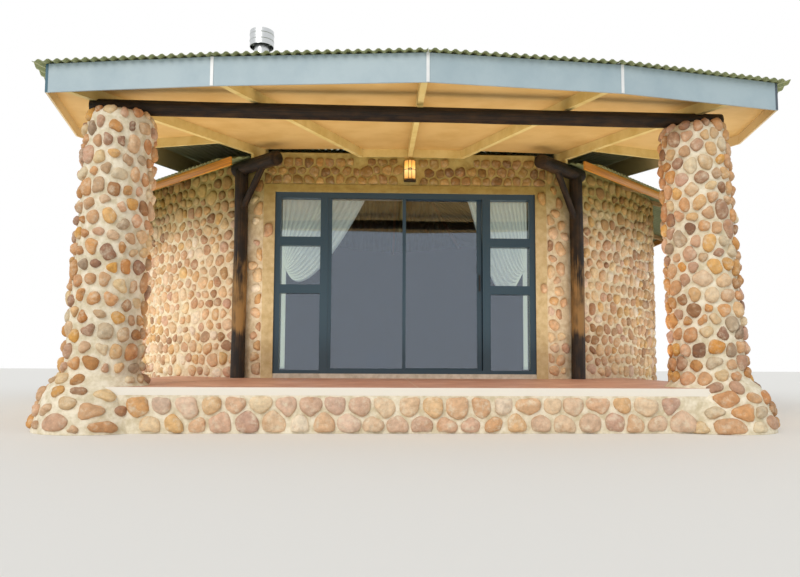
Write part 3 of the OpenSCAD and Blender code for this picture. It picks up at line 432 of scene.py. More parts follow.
def around(sites, weights, size, wrap):
    """Offsets (n, 24, 2) from each site to its neighbours and their weights; edges mirror, or wrap in u."""
    pad = np.pad(np.dstack([sites, weights]), ((2, 2), (0, 0), (0, 0)), "symmetric")
    pad = np.pad(pad, ((0, 0), (2, 2), (0, 0)), "wrap" if wrap else "symmetric")
    pad[:2, :, 1] *= -1
    pad[-2:, :, 1] = 2 * size[1] - pad[-2:, :, 1]
    if wrap:
        pad[:, :2, 0] -= size[0]
        pad[:, -2:, 0] += size[0]
    else:
        pad[:, :2, 0] *= -1
        pad[:, -2:, 0] = 2 * size[0] - pad[:, -2:, 0]
    rows, cols = weights.shape
    near = np.stack([pad[2 + a:2 + a + rows, 2 + b:2 + b + cols] for a, b in NEIGHBOURS], 2)
    return (near[..., :2] - sites[:, :, None]).reshape(-1, 24, 2), near[..., 2].reshape(-1, 24)


def outlines(sites, weights, size, wrap, turns, sharpness):
    """Radius of each cell towards each angle t: the smooth least of d / cos(t - f), where d is the
    weighted half distance to a neighbour that lies at angle f."""
    offset, other = around(sites, weights, size, wrap)
    length = np.linalg.norm(offset, axis=2)
    half = length * weights.reshape(-1, 1) / (weights.reshape(-1, 1) + other)
    angle = np.arctan2(offset[..., 1], offset[..., 0])
    towards = np.maximum(np.cos(turns[None, None] - angle[..., None]), 0.0) / half[..., None]
    return (towards ** sharpness).sum(1) ** (-1.0 / sharpness)


def stone_cells(size, step, seed, wrap, turns, spread, sharpness, jitter):
    """Sites (n, 2) and cell outlines (n, turns) that fill a rectangle of the given size."""
    rng = np.random.default_rng(seed)
    cols = max(3, round(size[0] / step[0]))
    rows = max(2, round(size[1] / step[1]))
    r, c = np.mgrid[0:rows, 0:cols]
    sites = np.stack([(c + 0.25 + 0.5 * (r % 2)) * size[0] / cols, (r + 0.5) * size[1] / rows], -1)
    sites += rng.uniform(-jitter, jitter, sites.shape) * np.array([size[0] / cols, size[1] / rows])
    weights = np.exp(rng.normal(0.0, spread, (rows, cols)))
    angles = np.arange(turns) * 2 * np.pi / turns
    ray = np.stack([np.cos(angles), np.sin(angles)], -1)
    for _ in range(ROUNDS):
        radius = outlines(sites, weights, size, wrap, angles, sharpness)
        middle = (radius[..., None] ** 3 * ray).sum(1) / (1.5 * (radius[..., None] ** 2).sum(1))
        sites = sites + ROUND_SHARE * middle.reshape(sites.shape)
    return sites.reshape(-1, 2), outlines(sites, weights, size, wrap, angles, sharpness), angles, rng


print(len(NEIGHBOURS), "neighbours shape each stone")

# %% [markdown]
# Each stone is a dome on its outline: rings shrink towards the middle while the height
# rises steeply at the rim and flattens on top. Each outline is squeezed along one
# direction of its own, as river stones are longer than wide. A tilt and a few low waves
# make no two alike. The rim starts a centimetre inside the mortar, where a bottom closes
# it, and the lowest stones end flat where they meet the ground.

# %% Stone domes
GROUND_Z = 0.002
SUNK = 0.010
LEAST_R = 0.012
GAP_SHARE = (0.3, 0.8)
HEIGHT_SHARE = (0.6, 1.0)
TILT = 0.12
RIDGE = 0.10
FINE_RINGS = np.array([1.0, 0.965, 0.87, 0.7, 0.46, 0.2])
PLAIN_RINGS = np.array([1.0, 0.93, 0.72, 0.38])


def domes(radius, angles, rng, rings, gap, height, squeeze, wave):
    """Offsets on plan (n, rings, turns, 2), heights above the mortar and crest heights (n, 1). A ring at
    share s of the outline lies at the crest height times the square root of 1 - s cubed."""
    count = len(radius)
    turned = angles[None] - rng.uniform(0, np.pi, (count, 1))
    slim = 1 - rng.uniform(0.0, squeeze, (count, 1))
    ellipse = 1 / np.sqrt(np.cos(turned) ** 2 + (np.sin(turned) / slim) ** 2)
    waves = 0.0
    for n in (2, 3, 4):
        rise = rng.uniform(0.0, wave, (count, 1))
        waves = waves + rise * np.cos(n * angles[None] + rng.uniform(0, 6.28, (count, 1)))
    radius = np.maximum(radius - rng.uniform(*GAP_SHARE, (count, 1)) * gap, LEAST_R) * (1 + waves) * ellipse
    crest = rng.uniform(*HEIGHT_SHARE, (count, 1)) * height
    tilt = rng.normal(0.0, TILT, (count, 2))
    ring = rings[None, :, None] * radius[:, None, :]
    local = np.stack([ring * np.cos(angles), ring * np.sin(angles)], -1)
    dome = ((1 - rings ** 3.0) ** 0.5)[None, :, None]
    lift = crest[:, :, None] * dome * (1 + RIDGE * np.cos(2 * turned)[:, None])
    lift = lift + (local * tilt[:, None, None]).sum(-1) * dome
    lift[:, 0] = -SUNK
    return local, lift, crest


def stones(name, size, step, seed, surface, gap, height, material, wrap=False, turns=18, keep=None,
           split=None, rings=FINE_RINGS, sharpness=6.0, spread=0.3, squeeze=0.3, jitter=0.3, wave=0.05):
    """Domes on the cells. surface maps (u, v) to a point and an outward normal; gap is the mortar width."""
    sites, radius, angles, rng = stone_cells(size, step, seed, wrap, turns, spread, sharpness, jitter)
    local, lift, crest = domes(radius, angles, rng, rings, gap, height, squeeze, wave)
    count = len(sites)
    middle = np.repeat(sites[:, None], 2, 1)
    flat = np.concatenate([(sites[:, None, None] + local).reshape(count, -1, 2), middle], 1)
    raised = np.concatenate([lift.reshape(count, -1), crest, np.full((count, 1), -SUNK)], 1)
    points, normal = surface(flat[..., 0], flat[..., 1])
    points = points + normal * raised[..., None]
    points[..., 2] = np.maximum(points[..., 2], GROUND_Z)
    faces = closed_faces(len(rings), turns)
    alive = np.ones(count, bool) if keep is None else keep(sites)
    tones = rng.uniform(0, 1, count)
    groups = split(sites) if split is not None else np.zeros(count, int)
    per = flat.shape[1]
    for group in np.unique(groups[alive]):
        chosen = alive & (groups == group)
        block = (faces[None] + (np.arange(int(chosen.sum())) * per)[:, None, None]).reshape(-1, 4)
        label = name if split is None else f"{name}_{group + 1}"
        piece(label, points[chosen].reshape(-1, 3), block, material, tone=np.repeat(tones[chosen], per))
    print(name, int(alive.sum()), "stones,", len(faces) * 2 * int(alive.sum()), "triangles at most")


# %% [markdown]
# River stones here are sandstone and quartzite: ochre, tan and brown with some pink and
# a few grey ones. A random number per stone picks its colour from a ramp, broad noise
# shifts it within the stone, and fine noise gives grit and pits. Rust spots and smears
# of lime, left by the trowel, break the surface up.

# %% Stone material
def stone_material(name, shades, relief, smoke=False, limed=0.6):
    """Colour of the stone's own tone, mottled, with rust and lime; relief of two grain sizes."""
    material, tree, shader = new_material(name, shades[0], 0.82)
    place = place_in(tree)
    tone = add(tree, "ShaderNodeAttribute", attribute_name="tone").outputs["Fac"]
    base = ramp_of(tree, tone, *[(k / (len(shades) - 1), shade) for k, shade in enumerate(shades)])
    mottle = noise(tree, place, 22.0, 7.0, 0.65)
    shade = times(tree, base, span(tree, mottle, (0.3, 0.7), (0.76, 1.20)))
    rust = span(tree, noise(tree, place, 9.0, 5.0, 0.6), (0.56, 0.7), (0.0, 0.4))
    rusty = mix(tree, rust, shade, linear("#b0742f"))
    smear = span(tree, noise(tree, place, 15.0, 6.0, 0.7), (0.50, 0.72), (0.0, limed))
    colour = mix(tree, smear, rusty, linear("#e8dcc2"))
    pits = noise(tree, place, 130.0, 5.0, 0.6)
    # Painted shade towards the ceiling, for walls under the veranda.
    colour = smoked(tree, colour) if smoke else colour
    patterned(tree, shader, colour, (pits, 0.003, relief), (mottle, 0.010, relief))
    return material


# Painted shade: the wall stones turn darker and yellower towards the ceiling.
wall_stone = stone_material("river sandstone, wall",
                            ["#d6ae86", "#e8cfa4", "#c49a78", "#e2bd94", "#b18564", "#e0c3a4", "#d3a873",
                             "#f0e4cc", "#caa088", "#dcb67c", "#9c7558", "#e6c9a2"], 0.7, smoke=True)
cobble = stone_material("river sandstone, cobbles",
                        ["#cf9248", "#d3ab8c", "#a67f66", "#e0c596", "#b97a3e", "#d9bd9c", "#dba554",
                         "#96705a", "#d2aa80", "#c08554", "#e6d5b2", "#7f5d48", "#d49a58", "#c7a08a"], 1.0)
# The stones over the door get a darker, olive palette: painted shade under the ceiling.
smoked_stone = stone_material("river sandstone, smoked",
                              ["#8a6d3c", "#a5854a", "#75562e", "#93793f", "#6a4c2a", "#b08f52", "#80622f",
                               "#9c7a4c"], 0.7, limed=0.25)
plinth_stone = stone_material("river sandstone, plinth",
                              ["#d2a67e", "#e0c6a4", "#c6a08a", "#e8d2ac", "#d09c64", "#dcbfa8", "#b8917c",
                               "#ecdcc2", "#d6b096", "#dcb47c"], 1.0, limed=0.85)
print("four kinds of stone")

# %% [markdown]
# The round wall is one strip, 3.965 m from the middle, with its top warped to follow
# the roof: each of the eight roof planes meets the wall highest at the hips.

# %% Stones on the round wall
WALL_R = 3.965
HALF_FLAT = 1.63
EAVE_R = 4.456
SHEET_Z = 2.6603
ROOF_PITCH = math.radians(19.5)
UNDER_ROOF = 0.02
FLAT_ANGLE = math.asin(HALF_FLAT / WALL_R)
ROOM_ARC = math.pi * 2 - 2 * FLAT_ANGLE
ARC_START = -math.pi / 2 + FLAT_ANGLE
WALL_SIZE = (ROOM_ARC * WALL_R, 2.80)
TERRACE_LEFT, TERRACE_RIGHT, TERRACE_Z = -2.81, 2.755, 0.365
POST_R, POST_CLEAR = 0.080, 0.135
posts_low, posts_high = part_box("wall_posts")


def post_place(x):
    """Plan point of a post that stands 12 mm off the round wall at x."""
    return np.array([x, -math.sqrt((WALL_R + 0.012 + POST_R) ** 2 - x * x)])


POSTS = {-1: post_place(posts_low[0] + POST_R), 1: post_place(posts_high[0] - POST_R)}


def wall_top(angle):
    """Height of the roof's underside over the wall, r cos(angle from the side's middle) from the centre."""
    off = (angle + math.pi / 8) % (math.pi / 4) - math.pi / 8
    return SHEET_Z + (EAVE_R - WALL_R * np.cos(off)) * math.tan(ROOF_PITCH)


def round_wall(u, v):
    """Point on the wall at arc length u and height v, stretched so that the top row follows the roof."""
    angle = ARC_START + u / WALL_R
    out = np.stack([np.cos(angle), np.sin(angle), np.zeros_like(angle)], -1)
    height = v * (wall_top(angle) - UNDER_ROOF) / WALL_SIZE[1]
    return out * WALL_R + np.stack([0 * v, 0 * v, height], -1), out


def wall_shows(sites):
    """False for stones that the terrace or a post covers."""
    angle = ARC_START + sites[:, 0] / WALL_R
    x, y = WALL_R * np.cos(angle), WALL_R * np.sin(angle)
    behind = (y < 0) & (x > TERRACE_LEFT) & (x < TERRACE_RIGHT) & (sites[:, 1] < TERRACE_Z + 0.05)
    for post in POSTS.values():
        behind |= np.hypot(x - post[0], y - post[1]) < POST_CLEAR
    return ~behind


def wall_part(sites):
    """Number of the seventh of the wall that a stone stands in."""
    return np.floor((sites[:, 0] / WALL_R) / (ROOM_ARC / 6.9999)).astype(int)


stones("wall_stones", WALL_SIZE, (0.150, 0.126), 7, round_wall, 0.018, 0.040, wall_stone,
       turns=14, keep=wall_shows, split=wall_part, rings=PLAIN_RINGS, spread=0.26, squeeze=0.26)

# %% [markdown]
# Over the door the wall is flat, from the plaster band up to the ceiling. Bare mortar
# is left behind the lamp and the rafters.

# %% Stones over the door
FLAT_Y = -math.sqrt(WALL_R ** 2 - HALF_FLAT ** 2)
HEAD_LOW, HEAD_HIGH = 2.590, 2.905
RAFTERS_AT_WALL = (-1.66, -0.52, 0.045, 0.65, 1.80)
RAFTER_CLEAR, RAFTER_FOOT = 0.085, 2.84
LAMP_X, LAMP_CLEAR = 0.044, 0.115


def plane_strip(start, end, base=0.0):
    """Upright strip from start to end on plan, from base up, its normal on the right of that way."""
    start, end = np.array(start), np.array(end)
    length = np.linalg.norm(end - start)
    along = (end - start) / length
    out = np.array([along[1], -along[0], 0.0])

    def surface(u, v):
        place = np.stack([start[0] + along[0] * u, start[1] + along[1] * u, v + base], -1)
        return place, np.broadcast_to(out, place.shape)
    return surface, length


def clear_of_rafters(sites):
    """False for stones that a rafter or the lamp covers."""
    x, z = sites[:, 0] - HALF_FLAT, sites[:, 1] + HEAD_LOW
    covered = abs(x - LAMP_X) < LAMP_CLEAR
    for rafter in RAFTERS_AT_WALL:
        covered |= (abs(x - rafter) < RAFTER_CLEAR) & (z > RAFTER_FOOT)
    return ~covered


flat_wall, length = plane_strip((-HALF_FLAT, FLAT_Y), (HALF_FLAT, FLAT_Y), HEAD_LOW)
# Their darker palette is painted shade under the ceiling.
stones("door_head_stones", (length, HEAD_HIGH - HEAD_LOW), (0.121, 0.104), 11, flat_wall, 0.012, 0.030,
       smoked_stone, keep=clear_of_rafters, spread=0.18, squeeze=0.2, sharpness=9.0)

# %% [markdown]
# A pillar is a spun profile: flared at the ground, slightly tapered, rounded at the
# head, and it leans 2.3 degrees inward. Arc length along that profile is the second
# parameter, so the stones keep their size where it bends.

# %% Pillar profile
LEAN = math.radians(2.3)
PILLARS = {"left": ((-2.510, -6.000), LEAN), "right": ((2.455, -5.880), -LEAN)}
PILLAR_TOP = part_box("left_pillar")[1][2]
CROWN_Z = PILLAR_TOP + 0.008
SHOULDER = 0.105
TOP_R = 0.256
PILLAR_GIRTH = 2 * math.pi * 0.30
FLARE = ((0.480, 0.0), (0.450, 0.146), (0.420, 0.270), (0.375, 0.347), (0.324, 0.391), (0.294, 0.438),
         (0.284, 0.5475))
bend = np.radians(np.arange(0, 91, 15))
shoulder = np.stack([TOP_R - SHOULDER * (1 - np.cos(bend)), CROWN_Z - SHOULDER * (1 - np.sin(bend))], -1)
PROFILE = np.array([*FLARE, *shoulder])
ALONG = np.concatenate([[0], np.cumsum(np.linalg.norm(np.diff(PROFILE, axis=0), axis=1))])
PROBE = 0.03
print("pillar profile", round(float(ALONG[-1]), 3), "m long")


# %% Stones on the pillars
FRONT_LEFT, FRONT_RIGHT = (-2.81, -6.35), (2.755, -6.23)
FRONT_SLOPE = (FRONT_RIGHT[1] - FRONT_LEFT[1]) / (FRONT_RIGHT[0] - FRONT_LEFT[0])
COURSES = {"left": ((0.126, 0.124), 21, 0.019, 0.34), "right": ((0.134, 0.108), 24, 0.009, 0.24)}


def front_edge(x):
    """Y of the terrace's front line above x."""
    return FRONT_LEFT[1] + (x - FRONT_LEFT[0]) * FRONT_SLOPE


def on_profile(v):
    """Radius and height of the profile at arc length v."""
    return np.interp(v, ALONG, PROFILE[:, 0]), np.interp(v, ALONG, PROFILE[:, 1])


def pillar_surface(middle, lean):
    """Spun profile round the pillar's leaning axis: u turns, v climbs along the profile."""
    cos, sin = math.cos(lean), math.sin(lean)
    turn = np.array([[cos, 0, sin], [0, 1, 0], [-sin, 0, cos]])

    def surface(u, v):
        angle = u / PILLAR_GIRTH * 2 * math.pi
        r, up = on_profile(v)
        (r_next, up_next), (r_last, up_last) = on_profile(v + PROBE), on_profile(v - PROBE)
        ahead, climb = r_next - r_last, up_next - up_last
        out = unit(np.stack([np.cos(angle) * climb, np.sin(angle) * climb, -ahead], -1))
        at = np.stack([r * np.cos(angle), r * np.sin(angle), up], -1)
        return at @ turn.T + np.array([*middle, 0.0]), out @ turn.T
    return surface


def beside_terrace(surface):
    """True for stones that stand clear of the terrace and the ground."""
    def test(sites):
        x, y, z = surface(sites[:, 0], sites[:, 1])[0].T
        inside = (y > front_edge(x) + 0.02) & (x > TERRACE_LEFT) & (x < TERRACE_RIGHT)
        return ~(inside & (z < TERRACE_Z + 0.02)) & (z > 0.035)
    return test


for side, (middle, lean) in PILLARS.items():
    surface = pillar_surface(middle, lean)
    step, seed, gap, squeeze = COURSES[side]
    stones(f"{side}_pillar_stones", (PILLAR_GIRTH, ALONG[-1] - 0.03), step, seed, surface, gap, 0.040, cobble,
           wrap=True, keep=beside_terrace(surface), sharpness=5.0, spread=0.23,
           squeeze=squeeze, jitter=0.36, wave=0.075)

# %% [markdown]
# The plinth has larger and paler cobbles in two courses under a band of white mortar.

# %% Stones on the plinth
PLINTH_TOP = 0.282
FOOT_R = 0.50
PLINTHS = (("front", FRONT_LEFT, FRONT_RIGHT, 31),
           ("left_side", (TERRACE_LEFT, -2.80), FRONT_LEFT, 32),
           ("right_side", FRONT_RIGHT, (TERRACE_RIGHT, -2.90), 33))


def off_the_feet(surface):
    """False for stones that a pillar's foot or the hut covers."""
    def test(sites):
        x, y, _ = surface(sites[:, 0], sites[:, 1])[0].T
        clear = np.hypot(x, y) > WALL_R + 0.10
        for foot, _ in PILLARS.values():
            clear &= np.hypot(x - foot[0], y - foot[1]) > FOOT_R
        return clear
    return test


for label, start, end, seed in PLINTHS:
    surface, length = plane_strip(start, end)
    stones(f"{label}_plinth_stones", (length, PLINTH_TOP), (0.186, 0.141), seed, surface, 0.010, 0.042,
           plinth_stone, turns=20, keep=off_the_feet(surface), sharpness=6.5, spread=0.13,
           squeeze=0.20, jitter=0.20)

# %% [markdown]
# ## Tarred round poles
# The front pole, the posts, their brackets and braces are debarked gum poles, dipped
# in creosote. They are never quite straight or round: the radius wanders by a few
# per cent along the length, and drying cracks run with the grain. A pole is a circle
# carried along a line, and its own UV map, in metres, carries the grain. Sun and rain
# bleach the posts below the roof's shade, so their tar wears to brown streaks there.

# %% Pole material
POST_TOP = 2.8


def tarred(name, *bleached):
    """Creosoted timber: long grain streaks between black and brown; bleached is a ramp over the height."""
    material, tree, shader = new_material(name, "#1d140e", 0.62)
    strip = add(tree, "ShaderNodeUVMap", uv_map="along").outputs["UV"]
    stretched = add(tree, "ShaderNodeMapping", {"Vector": strip, "Scale": (38.0, 2.2, 1.0)}).outputs["Vector"]
    grain = noise(tree, stretched, 1.0, 8.0, 0.65)
    worn = result(tree, "MULTIPLY", grain, noise(tree, strip, 5.0, 5.0))
    colour = ramp_of(tree, worn, (0.20, "#130d08"), (0.45, "#4a3419"))
    if bleached:
        level = span(tree, height_in(tree), (0.0, POST_TOP))
        wear = result(tree, "MULTIPLY", ramp_of(tree, level, *bleached), 0.55)
        bare = span(tree, result(tree, "ADD", worn, wear), (0.52, 0.74))
        colour = mix(tree, bare, colour, linear("#8c6a3a"))
    patterned(tree, shader, colour, (grain, 0.010, 0.8))
    return material


fresh_tar = tarred("creosoted gum pole")
worn_tar = tarred("creosoted gum pole, bleached", (0.10, "#000000"), (0.26, "#2a2a2a"), (0.34, "#f0f0f0"),
                  (0.58, "#d0d0d0"), (0.80, "#404040"), (0.95, "#000000"))
print("fresh and bleached tar")

# %% Pole shapes
ALONG_Y, ALONG_Z = (0.0, 1.0, 0.0), (0.0, 0.0, 1.0)
POLE_COLS = 28


def sweep(path, radius, upright=ALONG_Z, cols=POLE_COLS):
    """Closed tube: circles of radius (n, cols), or one number, square to a path of (n, 3) points."""
    path = np.asarray(path, float)
    rows = len(path)
    ahead = unit(np.gradient(path, axis=0))
    side = unit(np.cross(ahead, upright))
    up = np.cross(ahead, side)
    angle = np.linspace(0, 2 * np.pi, cols, endpoint=False)[None]
    ring = np.cos(angle)[..., None] * side[:, None] + np.sin(angle)[..., None] * up[:, None]
    points = path[:, None] + np.broadcast_to(radius, (rows, cols))[..., None] * ring
    run = np.concatenate([[0], np.cumsum(np.linalg.norm(np.diff(path, axis=0), axis=1))])[:, None]
    uv = np.stack(np.broadcast_arrays(angle / (2 * np.pi), run), -1).reshape(-1, 2)
    return (np.concatenate([points.reshape(-1, 3), path[-1:], path[:1]]),
            closed_faces(rows, cols),
            np.concatenate([uv, [[0.5, run[-1, 0]], [0.5, 0.0]]]))


def joined(parts):
    """One (points, faces, uv) from several, with each part's faces counted on from the part before."""
    shift = np.cumsum([0] + [len(part[0]) for part in parts])[:-1]
    return (np.concatenate([part[0] for part in parts]),
            np.concatenate([part[1] + first for part, first in zip(parts, shift)]),
            np.concatenate([part[2] for part in parts]))


def pole(start, end, radius, seed, rows, bow=0.0):
    """Straight pole whose radius wanders by 2.5 per cent, bowed sideways by up to bow."""
    rng = np.random.default_rng(seed)
    start, end = np.array(start, float), np.array(end, float)
    length = np.linalg.norm(end - start)
    t = np.linspace(0, 1, rows)[:, None]
    angle = np.linspace(0, 2 * np.pi, POLE_COLS, endpoint=False)[None]
    swell = sum(0.016 / n * np.cos(n * length * 2.2 * t + m * angle + rng.uniform(0, 6.28))
                for n in (1, 2, 3) for m in (0, 1, 2))
    steep = abs(end[2] - start[2]) >= 0.9 * length
    across = np.array((1.0, 0.0, 0.0) if steep else (end[1] - start[1], start[0] - end[0], 0.0))
    path = start + (end - start) * t + np.sin(np.pi * t) * bow * unit(across)
    return sweep(path, radius * (0.97 + swell), ALONG_Y if steep else ALONG_Z)


def poles(name, parts, material, replaced):
    """Several poles joined in one piece that stands for a CAD node."""
    points, faces, uv = joined(parts)
    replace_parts(piece(name, points, faces, material, uv=uv), replaced)
    print(name, len(parts), "poles,", 2 * len(faces), "triangles")


# %% [markdown]
# The front pole runs from pillar to pillar, past their leaning heads. On each side of
# the door a post, a bracket pole and a brace carry the veranda roof at 45 degrees.

# %% Poles
BEAM_R, BRACE_R, BEAM_END = 0.065, 0.038, 0.249
BRACKET_TAIL, BRACKET_REACH = 0.109, {-1: 0.659, 1: 0.769}
BRACE_REACH, BRACE_DROP = 0.420, {-1: 0.510, 1: 0.590}
HIDDEN_END = 0.02
beam_low, beam_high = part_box("front_beam")
beam_z = (beam_low[2] + beam_high[2]) / 2
lean_in = np.array([(beam_low[2] - 0.011) * math.tan(LEAN), 0.0])
left_head, right_head = np.array(PILLARS["left"][0]) + lean_in, np.array(PILLARS["right"][0]) - lean_in
beam_along = unit(right_head - left_head)
left_end, right_end = left_head - BEAM_END * beam_along, right_head + BEAM_END * beam_along
poles("gum_front_beam", [pole((*left_end, beam_z), (*right_end, beam_z), BEAM_R, 3, rows=160)],
      fresh_tar, "front_beam")

bracket_low, bracket_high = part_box("bracket_poles")
bracket_z = (bracket_low[2] + bracket_high[2]) / 2
posts, brackets, braces = [], [], []
for s, at in POSTS.items():
    outward = np.array([s, 1.0]) / math.sqrt(2)
    under = bracket_z - HIDDEN_END
    tail, nose = at + BRACKET_TAIL * outward, at - BRACKET_REACH[s] * outward
    posts.append(pole((*at, posts_low[2] + 0.001), (*at, under), POST_R, 8 + s, rows=110, bow=0.004))
    brackets.append(pole((*tail, bracket_z), (*nose, bracket_z), POST_R, 18 + s, rows=34))
    braces.append(pole((*at, bracket_z - BRACE_DROP[s]), (*(at - BRACE_REACH * outward), under),
                       BRACE_R, 28 + s, rows=30))
poles("gum_wall_posts", posts, worn_tar, "wall_posts")
poles("gum_bracket_poles", brackets, fresh_tar, "bracket_poles")
poles("gum_knee_braces", braces, fresh_tar, "knee_braces")

# %% [markdown]
# ## Timber, ceiling and fascia
# Rafters and trimmers are painted cream, the ceiling boards a warmer tan, and the
# fascia a pale blue. Paint on sawn timber keeps a faint grain and collects dust, so
# each has a slow change of shade.

# %% Painted timber
def painted(name, light, dark, roughness, scale=5.0, inner=None):
    """Paint with slow patches of wear and a fine brushed bump; inner is the paint on faces that look in."""
    material, tree, shader = new_material(name, light, roughness)
    place = place_in(tree)
    colour = ramp_of(tree, noise(tree, place, scale, 7.0, 0.6), (0.32, dark), (0.6, light))
    if inner:
        colour = mix(tree, looks_in(tree, place), colour, linear(inner))
    patterned(tree, shader, colour, (noise(tree, place, 90.0, 3.0), 0.001, 0.3))
    return material


finish_node(painted("cream paint on timber", "#dfcb88", "#cfb76e", 0.55),
            "veranda_rafters", "ceiling_trimmers", "beam_saddles")
finish_node(painted("tan paint on ceiling board", "#d6b474", "#c8a360", 0.6, 2.5), "veranda_ceiling")
finish_node(painted("pale blue gloss paint", "#a6b8bf", "#99adb6", 0.42, 3.0, inner="#d8c394"),
            "veranda_fascia")
finish_node(painted("white powder coat", "#eceeee", "#dcdfdf", 0.4), "fascia_cover_strips", "curtain_rail")
print("timber painted")

# %% [markdown]
# A folded strip covers each end corner of the fascia. Its plan is a thin angle, whose
# two mitre points lie on the line that halves the corner.

# %% Corner trims
TRIM_W, TRIM_PROUD, TRIM_Z = 0.021, 0.0015, (2.6105, 2.8345)


def corner_trim(name, corner, front, side, material):
    """Folded strip round an upright corner: two wings of TRIM_W along the plan directions front and side."""
    front, side = unit(np.array([front, side]))
    away = -unit(front + side)
    wings = []
    for wing, depth in ((front, TRIM_PROUD), (side, TRIM_PROUD), (side, -TRIM_PROUD), (front, -TRIM_PROUD)):
        square = away - wing * (away @ wing)
        wings.append(corner + wing * TRIM_W + unit(square) * depth)
    mitre = away * TRIM_PROUD / np.linalg.norm(away - front * (away @ front))
    plan = [wings[0], corner + mitre, wings[1], wings[2], corner - mitre, wings[3]]
    count = len(plan)
    points = np.array([(*p, z) for z in TRIM_Z for p in plan])
    c = np.arange(count)
    walls = np.stack([c, (c + 1) % count, count + (c + 1) % count, count + c], -1)
    caps = np.array([[0, 1, 4, 5], [1, 2, 3, 4]])
    order = 1 if np.cross(plan[1] - plan[0], plan[2] - plan[1]) > 0 else -1
    faces = np.concatenate([walls, caps[:, ::-1], caps + count])
    piece(name, points, faces[:, ::order], material, smooth=False)


corner_trim("fascia_trim_left", (-2.900, -6.300), (1.322, -0.186), (-0.420, 1.580),
            new_material("teal painted trim", "#2f5d6e", 0.4)[0])
corner_trim("fascia_trim_right", (2.9438, -6.1616), (-1.387, -0.307), (0.346, 1.291),
            new_material("grey painted trim", "#4a5560", 0.4)[0])
print("two corner trims")

# %% [markdown]
# The eave boards are varnished pine. Their grain runs round the roof and the rafters'
# runs to its peak, and both come from the same trick: the noise is read at (distance
# from the middle, angle, height), stretched.

# %% Pine
def pine(name, light, dark, roughness):
    """Pine whose growth rings are stretched along the timber by reading the noise in polar measure."""
    material, tree, shader = new_material(name, light, roughness)
    parts = add(tree, "ShaderNodeSeparateXYZ", {0: place_in(tree)}).outputs
    flat = add(tree, "ShaderNodeCombineXYZ", {"X": parts["X"], "Y": parts["Y"]}).outputs[0]
    away = add(tree, "ShaderNodeVectorMath", {0: flat}, operation="LENGTH").outputs["Value"]
    angle = result(tree, "ARCTAN2", parts["Y"], parts["X"])
    polar = add(tree, "ShaderNodeCombineXYZ", {"X": away, "Y": angle, "Z": parts["Z"]}).outputs[0]
    stretched = add(tree, "ShaderNodeMapping", {"Vector": polar, "Scale": (1.5, 6.0, 70.0)}).outputs[0]
    patterned(tree, shader, ramp_of(tree, noise(tree, stretched, 1.0, 6.0), (0.35, dark), (0.65, light)))
    return material


finish_node(pine("varnished pine", "#cd8c28", "#a36715", 0.35), "eave_boards")
finish_node(pine("sawn pine", "#c6a473", "#a07f52", 0.7), "roof_rafters")
print("pine finished")

# %% [markdown]
# ## Roof iron
# The sheets are pressed steel with a baked olive coating, chalky after some years, so
# they are painted metal and not bare: no metallic and a middling roughness. Under the
# veranda the faces that look down get painted light from below: a lighter olive near the
# edge, and further back a pale colour that is partly the sheets' own pale underside.

# %% Roof iron
# Down-facing faces get pale painted light behind this Y and a lighter olive in front of it.
LIT_UNDERSIDE_SPLIT_Y = -5.6


def roof_iron(name, lit_underside):
    """Chalky olive coating; if asked, faces that look down get painted light from below: lighter olive at the
    edge, pale further back.
    """
    material, tree, shader = new_material(name, "#7d8556", 0.48)
    place = place_in(tree)
    colour = ramp_of(tree, noise(tree, place, 2.2, 8.0, 0.7), (0.34, "#6f7852"), (0.66, "#8f976f"))
    if lit_underside:
        down = result(tree, "LESS_THAN", facing_in(tree), -0.3)
        depth = add(tree, "ShaderNodeSeparateXYZ", {0: place}).outputs["Y"]
        behind = result(tree, "GREATER_THAN", depth, LIT_UNDERSIDE_SPLIT_Y)
        # Painted light from below on faces that look down; the pale colour further back is partly the sheets'
        # own pale underside.
        colour = mix(tree, down, colour, mix(tree, behind, linear("#a9ae7c"), linear("#d8d2b8")))
    patterned(tree, shader, colour)
    return material


# The veranda sheets get painted light on the faces that look down.
finish_node(roof_iron("olive coated veranda iron", True), "veranda_sheets")
finish_node(roof_iron("olive coated roof iron", False), "roof_sheets", "hip_caps")
print("roof iron coated")

# %% [markdown]
# ## Door set
# Slate blue powder coat on aluminium is a satin plastic film over metal. The glass is
# float with a thin clear sun coating, which mirrors a little more than bare glass; its
# blue tint and the blue of its specular tint are painted sky reflection. The darkness
# behind it is the room itself, with painted shade in the dark grey of its inner plaster.

# %% Door set
blue_coat, tree, shader = new_material("slate blue powder coat", "#284252", 0.38)
patterned(tree, shader, None, (noise(tree, place_in(tree), 400.0, 2.0), 0.0004, 0.3))
finish_node(blue_coat, "door_frame", "fixed_door_panel", "sliding_door_panel")
finish_node(new_material("black nylon", "#141414", 0.45)[0], "sliding_door_handle")

# The blue of the glass and of its specular tint is painted sky reflection.
glass, tree, shader = new_material("clear float glass", "#d3e2f0", 0.02)
shader.inputs["Transmission Weight"].default_value = 1.0
shader.inputs["IOR"].default_value = 1.5
shader.inputs["Specular Tint"].default_value = linear("#9fbfe8")
shader.inputs["Coat Weight"].default_value = 1.0
shader.inputs["Coat IOR"].default_value = 1.75
shader.inputs["Coat Roughness"].default_value = 0.02
finish_node(glass, "left_side_glass", "right_side_glass", "fixed_door_glass", "sliding_door_glass")
print("door set finished")

# %% [markdown]
# ## Flue and lamp
# The flue is bright spangled zinc. The lamp has a half-round frosted shade that is lit
# from inside, under a cage of thin dark rods that stands on it.

